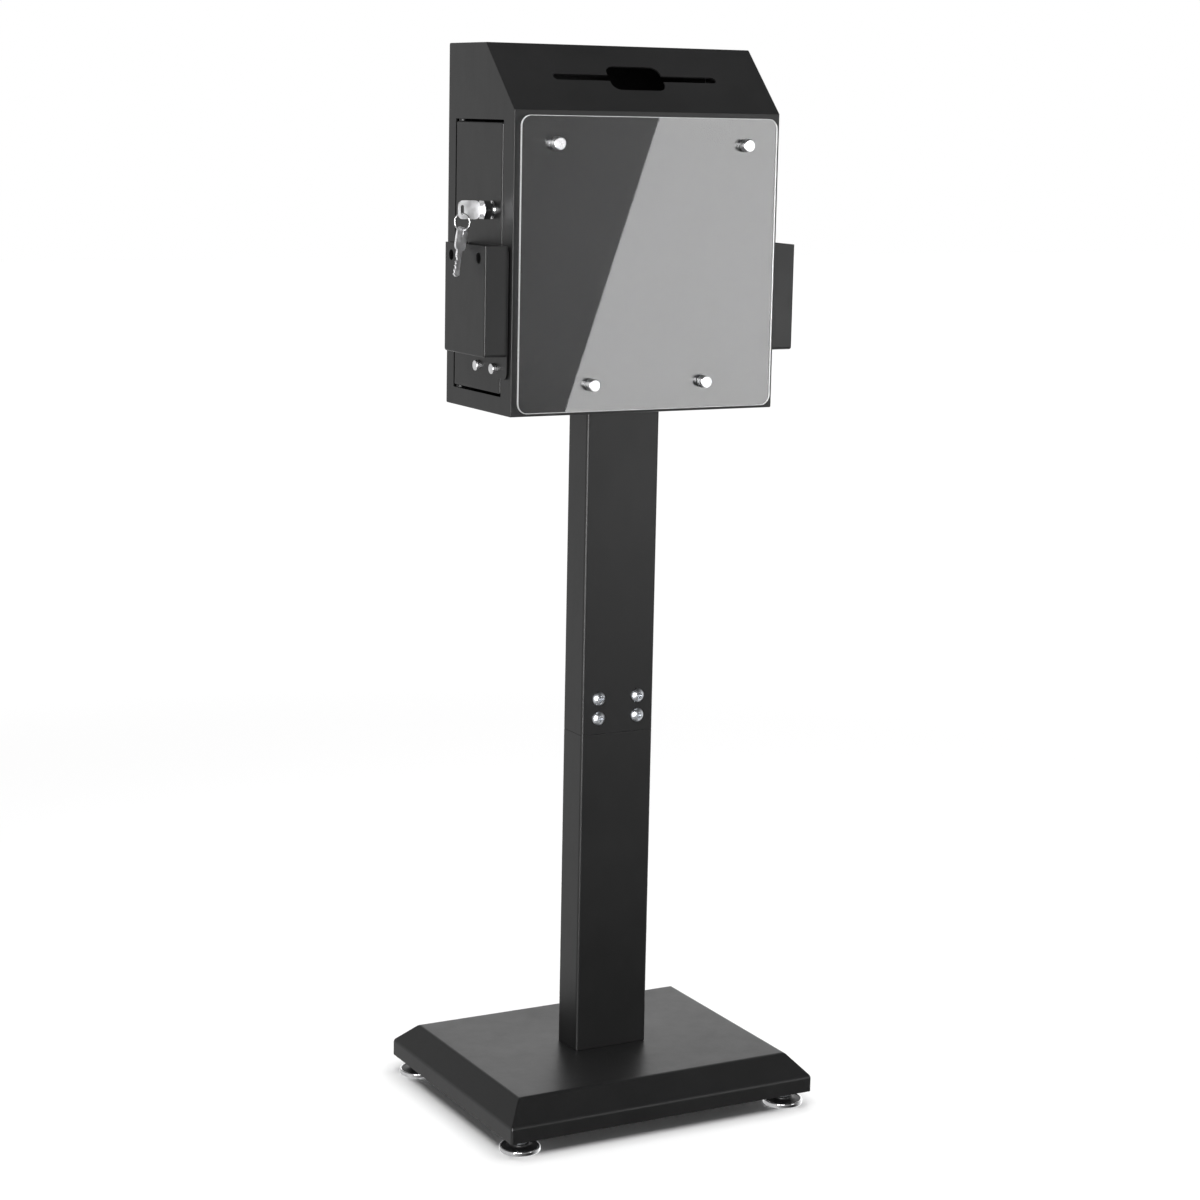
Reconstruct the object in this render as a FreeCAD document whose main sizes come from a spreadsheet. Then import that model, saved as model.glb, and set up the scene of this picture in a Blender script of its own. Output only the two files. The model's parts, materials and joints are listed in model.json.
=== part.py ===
"""Floor-standing collection box on a two-piece pole, in millimetres.

+Z is up and the floor is z = 0. The origin lies on the floor under the middle of the pole.
The front, with the sign panel, faces -Y. The lockable door is in the left side, which faces -X.
"""
import FreeCAD, Part
import Sketcher
import math
import os
import re

V = FreeCAD.Vector

SIZES = {
    # collection box
    "box_wide": 286.0,          # outside, left to right
    "box_deep": 142.5,          # outside, front to back
    "box_front": 59.5,          # front face to the pole's middle
    "box_low": 702.5,           # underside above the floor
    "front_tall": 284.5,        # upright front face
    "slope_rise": 61.0,         # the sloped face rises and runs this much, at 45 degrees
    "sheet": 1.5,               # steel sheet of box, door and base cover
    "mitre": 0.41421,           # tangent of half the 45 degree bend
    "slot_wide": 176.0,         # long slot in the sloped face
    "slot_high": 7.5,
    "aperture_wide": 58.0,      # wider aperture in the middle of the slot
    "aperture_high": 31.0,
    "aperture_round": 9.0,
    # door in the left side
    "door_front": 35.5,         # front edge of the door, forward of the pole's middle
    "door_up": 19.5,            # bottom edge above the box's underside
    "door_down": 12.5,          # top edge below the front face's top
    "door_gap": 2.5,            # gap along the top, front and bottom edges
    "hinge_gap": 1.5,           # gap along the hinge edge
    "hinge_back": 60.5,         # hinge axis behind the pole's middle
    "hinge_in": 5.0,            # hinge axis inside the outer face
    "hinge_edge": 4.5,          # door edge behind the hinge axis
    "flange_deep": 14.0,        # returned edges of door and door opening
    "pin_wide": 4.0,            # hinge pin
    "pin_ends": 2.0,            # pin past the bracket, and past the door's returned edge
    "pin_fit": 0.05,            # radial running fit of pins, plugs and studs
    "bracket_long": 20.0,       # hinge bracket, front to back
    "bracket_out": 12.0,        # hinge bracket, in from the side
    "bracket_leg": 11.0,        # upright leg of a hinge bracket
    "bracket_thick": 2.0,
    "spacer_wide": 8.0,         # hinge spacer washers
    # cam lock and keys
    "lock_front": 16.0,         # lock axis forward of the pole's middle
    "lock_tall": 893.5,         # lock axis above the floor
    "barrel_wide": 16.0,
    "barrel_end": 13.2,         # barrel behind the door's outer face
    "lock_out": 11.5,           # lock face in front of the door
    "collar_low": 4.5,          # the hex collar starts here
    "collar_flats": 17.0,
    "neck_wide": 12.5,
    "rose_wide": 17.0,          # thin round flange against the door
    "rose_thick": 1.2,
    "lock_nut_flats": 22.0,
    "lock_nut_thick": 4.0,
    "plug_wide": 10.0,
    "plug_head": 12.0,
    "plug_step": 2.0,           # depth of the plug's head in the collar
    "plug_inset": 0.3,          # the plug's face lies this far in
    "tail_wide": 6.8,           # square tail that carries the cam
    "cam_gap": 0.5,             # cam behind the returned edge it catches
    "cam_thick": 2.0,
    "cam_reach": 34.0,
    "cam_wide": 15.0,
    "cam_screw_head": 9.0,
    "cam_screw_wide": 4.0,
    "key_thick": 1.8,
    "blade_long": 24.5,
    "blade_wide": 7.6,
    "bow_long": 22.0,
    "bow_wide": 17.4,
    "bow_round": 5.0,
    "bow_gap": 2.0,             # bow clear of the lock's face
    "key_hole_edge": 2.2,       # metal between the bow's end and its hole
    "key_hole_wide": 4.0,
    "key_hole_long": 9.0,
    "spare_hole_wide": 3.4,
    "spare_hole_long": 6.5,
    "keyway_fit": 0.1,
    "ring_radius": 8.0,         # key ring, to the middle of its wire
    "ring_wire": 1.5,
    "ring_turn": 35.0,          # the ring's plane, turned from front to back, in degrees
    "ring_slack": 0.4,          # wire clear of the edges it hangs on
    "spare_bow": 16.0,          # width of the spare key's bow
    "spare_turn": 28.0,         # the spare key's flat side, turned likewise
    "spare_lean": 12.5,         # the spare key leans outward, in degrees
    # leaflet pockets
    "pocket_front": 54.0,       # front wall forward of the pole's middle
    "pocket_wide": 88.0,
    "pocket_low": 758.5,
    "pocket_high": 861.5,
    "pocket_out": 25.5,         # outer face from the side of the box
    "pocket_sheet": 1.2,
    "pocket_spacer": 1.0,       # the back plate stands off the side
    "pocket_tab": 21.5,         # back plate below the pocket's floor
    "pocket_round": 6.5,
    "pocket_screw_pitch": 35.0,
    "pocket_screw_tall": 745.7,
    "pocket_hole_pitch": 59.4,
    "pocket_hole_wide": 10.2,
    "pocket_hole_tall": 850.0,
    # fasteners
    "small_thread": 5.0,        # pocket screws
    "small_head": 10.2,
    "small_head_tall": 3.6,
    "small_nut_flats": 8.0,
    "small_nut_thick": 4.0,
    "sign_thread": 6.0,         # sign stand-offs
    "sign_nut_flats": 10.0,
    "sign_nut_thick": 5.0,
    "pole_thread": 6.0,         # pole screws
    "pole_head": 13.8,
    "pole_head_tall": 4.2,
    "big_thread": 10.0,         # bolts at both ends of the pole
    "big_head_flats": 17.0,
    "big_head_tall": 6.4,
    "big_washer": 21.0,
    "big_washer_thick": 2.0,
    "hole_play": 0.25,          # radial clearance of plain screw holes
    # sign panel
    "sign_wide": 276.0,
    "sign_up": 3.3,             # bottom edge above the box's underside
    "sign_down": 5.0,           # top edge below the front face's top
    "sign_thick": 3.0,
    "sign_round": 10.0,
    "standoff_wide": 12.0,
    "standoff_barrel": 2.5,     # barrel between box and sign
    "standoff_cap": 8.5,        # cap in front of the sign
    "standoff_inset": 25.5,     # rows from the sign's top and bottom edges
    "upper_pitch": 204.0,
    "lower_pitch": 122.0,
    # pole
    "pole_wide": 80.0,
    "pole_deep": 40.0,
    "pole_wall": 2.0,
    "pole_round": 3.0,
    "pole_joint": 378.5,        # seam between the two lengths
    "sleeve_wall": 3.0,
    "sleeve_down": 70.0,
    "sleeve_up": 60.0,
    "sleeve_gap": 0.1,
    "screw_pitch_across": 43.5,
    "screw_pitch_up": 20.0,
    "screw_above_seam": 16.3,
    "end_block": 10.0,          # thickness of the welded end blocks
    "end_bolt_pitch": 44.0,
    "spread_wide": 80.0,        # load-spreading plate in the box
    "spread_deep": 70.0,
    "spread_thick": 3.0,
    "plate_round": 5.0,         # corners of the spreader and ballast plates
    "plug_side": 47.0,          # dome plug in the box's floor
    "plug_fore": 28.0,
    "dome_wide": 12.0,
    "dome_tall": 3.2,
    "dome_stem": 7.6,
    # base and feet
    "base_wide": 338.0,
    "base_deep": 279.0,
    "base_back": 4.0,           # middle of the base behind the pole's middle
    "base_top": 52.0,
    "rim_high": 31.0,           # the upright rim ends here
    "rim_low": 15.7,
    "crown_wide": 300.6,        # flat top of the base
    "crown_deep": 233.0,
    "ballast_wide": 240.0,
    "ballast_deep": 190.0,
    "ballast_thick": 10.0,
    "foot_pitch_wide": 298.0,
    "foot_pitch_deep": 235.0,
    "foot_wide": 40.0,
    "foot_lip": 2.6,
    "foot_tall": 8.0,
    "foot_crown": 19.0,
    "foot_socket": 5.0,
    "stud_wide": 10.0,
    "stud_pivot": 7.0,
    "stud_collar": 15.0,
    "stud_collar_tall": 3.4,
    "stud_top": 38.0,
    "gusset_long": 46.0,
    "gusset_thick": 4.0,
    "gusset_low": 18.0,
    "foot_nut_flats": 17.0,
    "foot_nut_thick": 8.0,
}

doc = FreeCAD.newDocument("CollectionBox")
sheet = doc.addObject("Spreadsheet::Sheet", "Sizes")
for row, (alias, value) in enumerate(SIZES.items(), start=1):
    sheet.set(f"A{row}", alias)
    sheet.set(f"B{row}", str(value))
    sheet.setAlias(f"B{row}", alias)
doc.recompute()

# Places that several pieces share, as formulas of the sheet's values
FRONT = "(-box_front)"
BACK = "(box_deep - box_front)"
BROW = "(box_low + front_tall)"
CREST = "(slope_rise - box_front)"
ROOF = "(box_low + front_tall + slope_rise)"
SIDE = "(box_wide / 2)"
SLOPE_LONG = "(slope_rise * sqrt(2))"
OPEN_FRONT = "(-door_front - door_gap)"
OPEN_BACK = "(hinge_back + hinge_edge + hinge_gap)"
DOOR_LOW = "(box_low + door_up)"
DOOR_HIGH = "(box_low + front_tall - door_down)"
OPEN_LOW = "(box_low + door_up - door_gap)"
OPEN_HIGH = "(box_low + front_tall - door_down + door_gap)"
CAM_FACE = "(-flange_deep - cam_gap)"
PLUG_FACE = "(lock_out - plug_inset)"
BOW_START = "(lock_out + bow_gap)"
SIGN_BACK = "(-box_front - standoff_barrel)"
SIGN_FACE = "(-box_front - standoff_barrel - sign_thick)"
SIGN_LOW = "(box_low + sign_up)"
SIGN_HIGH = "(box_low + front_tall - sign_down)"
UPPER_ROW = "(box_low + front_tall - sign_down - standoff_inset)"
LOWER_ROW = "(box_low + sign_up + standoff_inset)"
POCKET_BACK = "(pocket_wide - pocket_front)"
POCKET_MIDDLE = "(pocket_wide / 2 - pocket_front)"
PLATE_LOW = "(pocket_low - pocket_tab)"
RING_TOP = "(lock_tall - key_hole_long / 2 + ring_wire / 2 + ring_slack)"
RING_OUT = "(-box_wide / 2 - lock_out - bow_gap - bow_long + key_hole_edge + key_hole_wide / 2)"

# Notches in a key's blade: flat bottom from, to and its depth, with 45 degree flanks
KEY_CUTS = [(3.0, 4.2, 0.6), (7.0, 8.2, 1.5), (11.0, 12.4, 0.9), (15.2, 16.6, 1.8)]

finished = []


def expression(text):
    """The formula with the sheet's name before each of its values."""
    return re.sub(r"[a-z_]+", lambda word: "Sizes." + word[0] if word[0] in SIZES else word[0], text)


def size(text):
    """The formula's present value."""
    return float(sheet.evalExpression(expression(text)))


def bind(thing, prop, text):
    thing.setExpression(prop, expression(text))


def place(thing, x="0", y="0", z="0", turn=None):
    """Give a piece its place by formulas, with an optional fixed turn."""
    thing.Placement = FreeCAD.Placement(V(size(x), size(y), size(z)), turn or FreeCAD.Rotation())
    for axis, text in zip("xyz", (x, y, z)):
        bind(thing, f"Placement.Base.{axis}", text)
    return thing


def finish(thing, label):
    """Name a finished sub-part; its label is its node and file name."""
    thing.Label = label
    finished.append(thing)
    return thing


# Turns: a piece drawn along its own +Z points this way when it is placed
TO_LEFT = FreeCAD.Rotation(V(0, 1, 0), -90)
TO_RIGHT = FreeCAD.Rotation(V(0, 1, 0), 90)
TO_FRONT = FreeCAD.Rotation(V(1, 0, 0), 90)
UPSIDE_DOWN = FreeCAD.Rotation(V(1, 0, 0), 180)


# ---------------------------------------------------------------- Part primitives

def block(name, x, y, z):
    """A Part::Box between three pairs of formulas."""
    box = doc.addObject("Part::Box", name)
    for prop, (low, high) in zip(("Length", "Width", "Height"), (x, y, z)):
        bind(box, prop, f"({high}) - ({low})")
    return place(box, x[0], y[0], z[0])


def rod(name, wide, long, x="0", y="0", z="0", turn=None):
    """A Part::Cylinder of a diameter and a length."""
    cylinder = doc.addObject("Part::Cylinder", name)
    bind(cylinder, "Radius", f"({wide}) / 2")
    bind(cylinder, "Height", long)
    return place(cylinder, x, y, z, turn)


def carved(name, base, tools):
    """The base with each tool cut away."""
    for number, tool in enumerate(tools, start=1):
        cut = doc.addObject("Part::Cut", f"{name}_cut{number}")
        cut.Base = base
        cut.Tool = tool
        base = cut
    return base


def joined(name, pieces):
    fusion = doc.addObject("Part::MultiFuse", name)
    fusion.Shapes = pieces
    return fusion


def group(label, pieces):
    """Equal pieces that share one node, each still its own solid."""
    compound = doc.addObject("Part::Compound", label)
    compound.Links = pieces
    return finish(compound, label)


# ---------------------------------------------------------------- PartDesign bodies

def new_body(name):
    return doc.addObject("PartDesign::Body", name)


def sketch_on(body, name, role, lift="0"):
    """A sketch on one of the body's own planes, lifted along the plane's normal."""
    plane = next(item for item in body.Origin.OriginFeatures if item.Role == role)
    sketch = body.newObject("Sketcher::SketchObject", f"{body.Name}_{name}")
    sketch.AttachmentSupport = (plane, [""])
    sketch.MapMode = "FlatFace"
    bind(sketch, "AttachmentOffset.Base.z", lift)
    return sketch


def locate(sketch, item, point, u, v):
    """Hold a point of the sketch at two formulas from the sketch's origin."""
    for kind, axis, text in (("DistanceX", -2, u), ("DistanceY", -1, v)):
        if text == "0":
            sketch.addConstraint(Sketcher.Constraint("PointOnObject", item, point, axis))
            continue
        made = sketch.addConstraint(Sketcher.Constraint(kind, -1, 1, item, point, size(text)))
        sketch.setExpression(f"Constraints[{made}]", expression(text))


def hold(sketch, kind, item, text):
    """Give a circle or arc its radius or diameter."""
    made = sketch.addConstraint(Sketcher.Constraint(kind, item, size(text)))
    sketch.setExpression(f"Constraints[{made}]", expression(text))


def draw_polygon(sketch, points):
    """Straight lines through points, each point held by its two formulas."""
    corners = [V(size(u), size(v), 0) for u, v in points]
    first = sketch.GeometryCount
    count = len(corners)
    for number in range(count):
        sketch.addGeometry(Part.LineSegment(corners[number], corners[(number + 1) % count]), False)
    for number in range(count):
        after = first + (number + 1) % count
        sketch.addConstraint(Sketcher.Constraint("Coincident", first + number, 2, after, 1))
    for number, (u, v) in enumerate(points):
        locate(sketch, first + number, 1, u, v)


def draw_rectangle(sketch, u, v):
    draw_polygon(sketch, [(u[0], v[0]), (u[1], v[0]), (u[1], v[1]), (u[0], v[1])])


def draw_circle(sketch, wide, u="0", v="0"):
    item = sketch.addGeometry(Part.Circle(V(size(u), size(v), 0), V(0, 0, 1), size(wide) / 2), False)
    locate(sketch, item, 3, u, v)
    hold(sketch, "Diameter", item, wide)


def draw_hexagon(sketch, flats):
    """A regular hexagon about the origin, two of its flats at +U and -U."""
    points = []
    for number in range(6):
        angle = f"{60 * number + 30} * 1 deg"
        points.append((f"({flats}) / sqrt(3) * cos({angle})", f"({flats}) / sqrt(3) * sin({angle})"))
    points = [("0" if number in (1, 4) else u, v) for number, (u, v) in enumerate(points)]
    draw_polygon(sketch, points)


def draw_rounded(sketch, u, v, radius):
    """A rectangle with round corners."""
    (left, right), (low, high), r = (map(size, u)), (map(size, v)), size(radius)
    first = sketch.GeometryCount
    ends = [(V(left + r, low), V(right - r, low)), (V(right, low + r), V(right, high - r)),
            (V(right - r, high), V(left + r, high)), (V(left, high - r), V(left, low + r))]
    centres = [V(right - r, low + r), V(right - r, high - r), V(left + r, high - r), V(left + r, low + r)]
    for start, end in ends:
        sketch.addGeometry(Part.LineSegment(start, end), False)
    for number, centre in enumerate(centres):
        start = -math.pi / 2 + number * math.pi / 2
        corner = Part.ArcOfCircle(Part.Circle(centre, V(0, 0, 1), r), start, start + math.pi / 2)
        sketch.addGeometry(corner, False)
    for number in range(4):
        arc = first + 4 + number
        sketch.addConstraint(Sketcher.Constraint("Tangent", first + number, 2, arc, 1))
        sketch.addConstraint(Sketcher.Constraint("Tangent", arc, 2, first + (number + 1) % 4, 1))
        sketch.addConstraint(Sketcher.Constraint(("Horizontal", "Vertical")[number % 2], first + number))
        if number:
            sketch.addConstraint(Sketcher.Constraint("Equal", first + 4, arc))
    hold(sketch, "Radius", first + 4, radius)
    for kind, item, text in (("DistanceY", 0, v[0]), ("DistanceX", 1, u[1]),
                             ("DistanceY", 2, v[1]), ("DistanceX", 3, u[0])):
        made = sketch.addConstraint(Sketcher.Constraint(kind, -1, 1, first + item, 1, size(text)))
        sketch.setExpression(f"Constraints[{made}]", expression(text))


def draw_slot(sketch, u, middle, wide):
    """A slot along U with round ends, between two end formulas."""
    left, right, level, r = size(u[0]), size(u[1]), size(middle), size(wide) / 2
    first = sketch.GeometryCount
    sketch.addGeometry(Part.LineSegment(V(left + r, level - r), V(right - r, level - r)), False)
    sketch.addGeometry(Part.LineSegment(V(right - r, level + r), V(left + r, level + r)), False)
    for centre, start in ((right - r, -math.pi / 2), (left + r, math.pi / 2)):
        circle = Part.Circle(V(centre, level), V(0, 0, 1), r)
        sketch.addGeometry(Part.ArcOfCircle(circle, start, start + math.pi), False)
    for line, arc, after in ((first, first + 2, first + 1), (first + 1, first + 3, first)):
        sketch.addConstraint(Sketcher.Constraint("Tangent", line, 2, arc, 1))
        sketch.addConstraint(Sketcher.Constraint("Tangent", arc, 2, after, 1))
    sketch.addConstraint(Sketcher.Constraint("Equal", first + 2, first + 3))
    hold(sketch, "Diameter", first + 2, wide)
    locate(sketch, first + 2, 3, f"{u[1]} - ({wide}) / 2", middle)
    locate(sketch, first + 3, 3, f"{u[0]} + ({wide}) / 2", middle)


def pad(body, sketch, long):
    """Add the sketch's outline along its plane's normal."""
    feature = body.newObject("PartDesign::Pad", f"{sketch.Name}_pad")
    feature.Profile = sketch
    bind(feature, "Length", long)
    sketch.Visibility = False
    doc.recompute()
    return feature


def pocket(body, sketch, deep):
    """Cut the sketch's outline against its plane's normal, and make sure that it cuts."""
    before = body.Shape.Volume
    feature = body.newObject("PartDesign::Pocket", f"{sketch.Name}_pocket")
    feature.Profile = sketch
    bind(feature, "Length", deep)
    doc.recompute()
    if body.Shape.Volume >= before - 1e-6:
        raise RuntimeError(f"{feature.Name} cuts nothing")
    return feature


def turned(name, points):
    """A body turned about its own Z axis from a half section of radius and height formulas."""
    body = new_body(name)
    sketch = sketch_on(body, "section", "XZ_Plane")
    draw_polygon(sketch, points)
    feature = body.newObject("PartDesign::Revolution", f"{name}_turn")
    feature.Profile = sketch
    feature.ReferenceAxis = (sketch, ["V_Axis"])
    feature.Angle = 360
    doc.recompute()
    return body


def hexagon_piece(name, flats, low, long, bore=None):
    """A hexagonal prism along its own Z axis, bored if it is a nut."""
    body = new_body(name)
    sketch = sketch_on(body, "hexagon", "XY_Plane", low)
    draw_hexagon(sketch, flats)
    if bore:
        draw_circle(sketch, bore)
    pad(body, sketch, long)
    return body


def hex_bolt(name, flats, head, thread, long):
    """A hexagon bolt: head above its own z = 0, shank below."""
    body = hexagon_piece(name, flats, "0", head)
    shank = sketch_on(body, "shank", "XY_Plane", f"-({long})")
    draw_circle(shank, thread)
    pad(body, shank, long)
    return body


def plate(name, x, y, z, holes, radius):
    """A flat plate in the XY plane with round corners and round holes, each (diameter, x, y)."""
    body = new_body(name)
    outline = sketch_on(body, "outline", "XY_Plane", z[0])
    draw_rounded(outline, x, y, radius)
    for wide, along, across in holes:
        draw_circle(outline, wide, along, across)
    pad(body, outline, f"({z[1]}) - ({z[0]})")
    return body


# ---------------------------------------------------------------- box panels

def folded_panel(label, corners):
    """One flat side of the box, as wide as the box, with mitred edges."""
    body = new_body(label)
    outline = sketch_on(body, "section", "YZ_Plane", f"-{SIDE}")
    draw_polygon(outline, corners)
    pad(body, outline, "box_wide")
    return body


def sign_studs():
    """The four stand-off places, as (x, z) formulas."""
    rows = (("upper_pitch", UPPER_ROW), ("lower_pitch", LOWER_ROW))
    return [(f"({sign}{pitch} / 2)", row) for pitch, row in rows for sign in ("-", "")]


def build_front_panel():
    corners = [(FRONT, "box_low"), (FRONT, BROW), (f"{FRONT} + sheet", f"{BROW} - sheet * mitre"),
               (f"{FRONT} + sheet", "box_low + sheet")]
    body = folded_panel("front_panel", corners)
    holes = sketch_on(body, "holes", "XZ_Plane", f"-{FRONT} + 1")
    for x, z in sign_studs():
        draw_circle(holes, "sign_thread + 2 * hole_play", x, z)
    pocket(body, holes, "sheet + 2")
    finish(body, "front_panel")


def build_slope_panel():
    """Drawn flat: its own Y runs up the slope and its outer face is its own z = 0."""
    body = new_body("slope_panel")
    section = sketch_on(body, "section", "YZ_Plane", f"-{SIDE}")
    inset = "sheet * mitre"
    draw_polygon(section, [("0", "0"), (SLOPE_LONG, "0"), (f"{SLOPE_LONG} - {inset}", "-sheet"),
                           (inset, "-sheet")])
    pad(body, section, "box_wide")
    middle = f"{SLOPE_LONG} / 2"
    slot = sketch_on(body, "slot", "XY_Plane")
    draw_slot(slot, ("-slot_wide / 2", "slot_wide / 2"), middle, "slot_high")
    pocket(body, slot, "sheet")
    aperture = sketch_on(body, "aperture", "XY_Plane")
    draw_rounded(aperture, ("-aperture_wide / 2", "aperture_wide / 2"),
                 (f"{middle} - aperture_high / 2", f"{middle} + aperture_high / 2"), "aperture_round")
    pocket(body, aperture, "sheet")
    place(body, "0", FRONT, BROW, FreeCAD.Rotation(V(1, 0, 0), 45))
    finish(body, "slope_panel")


def build_top_panel():
    corners = [(CREST, ROOF), (BACK, ROOF), (f"{BACK} - sheet", f"{ROOF} - sheet"),
               (f"{CREST} + sheet * mitre", f"{ROOF} - sheet")]
    finish(folded_panel("top_panel", corners), "top_panel")


def build_back_panel():
    corners = [(BACK, ROOF), (BACK, "box_low"), (f"{BACK} - sheet", "box_low + sheet"),
               (f"{BACK} - sheet", f"{ROOF} - sheet")]
    finish(folded_panel("back_panel", corners), "back_panel")


def end_bolt_places():
    return [("(-end_bolt_pitch / 2)", "0"), ("(end_bolt_pitch / 2)", "0")]


def build_floor_panel():
    corners = [(BACK, "box_low"), (FRONT, "box_low"), (f"{FRONT} + sheet", "box_low + sheet"),
               (f"{BACK} - sheet", "box_low + sheet")]
    body = folded_panel("floor_panel", corners)
    holes = sketch_on(body, "holes", "XY_Plane", "box_low + sheet + 1")
    for x, y in end_bolt_places():
        draw_circle(holes, "big_thread + 2 * hole_play", x, y)
    draw_circle(holes, "dome_stem + 2 * hole_play", "plug_side", "-plug_fore")
    pocket(body, holes, "sheet + 2")
    finish(body, "floor_panel")


def pocket_screw_places():
    """The two screws of a leaflet pocket, as (y, z) formulas."""
    return [(f"({POCKET_MIDDLE} {sign} pocket_screw_pitch / 2)", "pocket_screw_tall") for sign in "-+"]


def side_blank(label, start):
    """The flat side of the box, inside the folded panels."""
    body = new_body(label)
    outline = sketch_on(body, "outline", "YZ_Plane", start)
    draw_polygon(outline, [(f"{FRONT} + sheet", "box_low + sheet"),
                           (f"{FRONT} + sheet", f"{BROW} - sheet * mitre"),
                           (f"{CREST} + sheet * mitre", f"{ROOF} - sheet"),
                           (f"{BACK} - sheet", f"{ROOF} - sheet"),
                           (f"{BACK} - sheet", "box_low + sheet")])
    pad(body, outline, "sheet")
    return body


def build_side_panels():
    left = side_blank("side_left", f"-{SIDE}")
    opening = sketch_on(left, "opening", "YZ_Plane", f"-{SIDE} + sheet")
    draw_rectangle(opening, (OPEN_FRONT, OPEN_BACK), (OPEN_LOW, OPEN_HIGH))
    pocket(left, opening, "sheet")
    catch = sketch_on(left, "catch", "YZ_Plane", f"-{SIDE}")
    draw_rectangle(catch, (f"{OPEN_FRONT} - sheet", OPEN_FRONT), (OPEN_LOW, OPEN_HIGH))
    pad(left, catch, "flange_deep")
    finish(left, "side_left")
    right = side_blank("side_right", f"{SIDE} - sheet")
    holes = sketch_on(right, "holes", "YZ_Plane", SIDE)
    for y, z in pocket_screw_places():
        draw_circle(holes, "small_thread + 2 * hole_play", y, z)
    pocket(right, holes, "sheet")
    finish(right, "side_right")


# ---------------------------------------------------------------- door, hinge and lock

def build_door():
    """A shallow pan: a flat face with four returned edges."""
    body = new_body("door_panel")
    y = ("-door_front", "(hinge_back + hinge_edge)")
    z = (DOOR_LOW, DOOR_HIGH)
    outline = sketch_on(body, "outline", "YZ_Plane", f"-{SIDE}")
    draw_rectangle(outline, y, z)
    pad(body, outline, "flange_deep")
    hollow = sketch_on(body, "hollow", "YZ_Plane", f"-{SIDE} + flange_deep")
    draw_rectangle(hollow, (f"{y[0]} + sheet", f"{y[1]} - sheet"), (f"{DOOR_LOW} + sheet", f"{DOOR_HIGH} - sheet"))
    pocket(body, hollow, "flange_deep - sheet")
    holes = sketch_on(body, "holes", "YZ_Plane", f"-{SIDE} + sheet")
    draw_circle(holes, "barrel_wide + 2 * pin_fit", "-lock_front", "lock_tall")
    for across, up in pocket_screw_places():
        draw_circle(holes, "small_thread + 2 * hole_play", across, up)
    pocket(body, holes, "sheet")
    pins = sketch_on(body, "pins", "XY_Plane", DOOR_HIGH)
    draw_circle(pins, "pin_wide + 2 * pin_fit", f"-{SIDE} + hinge_in", "hinge_back")
    pocket(body, pins, f"{DOOR_HIGH} - {DOOR_LOW}")
    finish(body, "door_panel")


def build_hinges():
    """A bracket, a pressed-in pin and a spacer above the door, and the same below it, upside down."""
    brackets, pins, spacers = [], [], []
    pin_x = f"-{SIDE} + hinge_in"
    inner = f"(-{SIDE} + sheet)"
    y = ("(hinge_back - bracket_long / 2)", "(hinge_back + bracket_long / 2)")
    for end, edge, away in (("upper", OPEN_HIGH, "+"), ("lower", OPEN_LOW, "-")):
        shelf_z = sorted((edge, f"({edge} {away} bracket_thick)"), key=size)
        leg_z = sorted((edge, f"({edge} {away} bracket_leg)"), key=size)
        shelf = block(f"{end}_shelf", (inner, f"({inner} + bracket_out)"), y, shelf_z)
        leg = block(f"{end}_leg", (inner, f"({inner} + bracket_thick)"), y, leg_z)
        bracket = joined(f"{end}_bracket_blank", [shelf, leg])
        bore = rod(f"{end}_bracket_bore", "pin_wide", "bracket_thick + 2 * pin_ends + 2", pin_x,
                   "hinge_back", f"{shelf_z[0]} - pin_ends - 1")
        brackets.append(carved(f"{end}_bracket", bracket, [bore]))
        pin = turned(f"{end}_pin", [("0", "bracket_thick + pin_ends"), ("0", "-door_gap - sheet - pin_ends"),
                                    ("pin_wide / 2 - 0.5", "-door_gap - sheet - pin_ends"),
                                    ("pin_wide / 2", "-door_gap - sheet - pin_ends + 0.5"),
                                    ("pin_wide / 2", "bracket_thick + pin_ends")])
        spacer = turned(f"{end}_spacer", [("pin_wide / 2 + pin_fit", "-door_gap"),
                                          ("spacer_wide / 2", "-door_gap"), ("spacer_wide / 2", "0"),
                                          ("pin_wide / 2 + pin_fit", "0")])
        turn = UPSIDE_DOWN if end == "lower" else None
        pins.append(place(pin, pin_x, "hinge_back", edge, turn))
        spacers.append(place(spacer, pin_x, "hinge_back", edge, turn))
    group("hinge_brackets", brackets)
    group("hinge_pins", pins)
    group("hinge_spacers", spacers)


def on_lock_axis(body):
    """Set a lock piece on the lock's axis: its own +Z points out of the door."""
    return place(body, f"-{SIDE}", "-lock_front", "lock_tall", TO_LEFT)


def build_lock_body():
    bore = "plug_wide / 2 + pin_fit"
    body = turned("lock_body", [(bore, "-barrel_end"), ("barrel_wide / 2", "-barrel_end"),
                                ("barrel_wide / 2", "0"), ("rose_wide / 2", "0"),
                                ("rose_wide / 2", "rose_thick"), ("neck_wide / 2", "rose_thick"),
                                ("neck_wide / 2", "collar_low"), (bore, "collar_low")])
    collar = sketch_on(body, "collar", "XY_Plane", "collar_low")
    draw_hexagon(collar, "collar_flats")
    draw_circle(collar, "plug_wide + 2 * pin_fit")
    pad(body, collar, "lock_out - collar_low")
    seat = sketch_on(body, "seat", "XY_Plane", "lock_out")
    draw_circle(seat, "plug_head + 2 * pin_fit")
    pocket(body, seat, "plug_step")
    finish(on_lock_axis(body), "lock_body")


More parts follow.
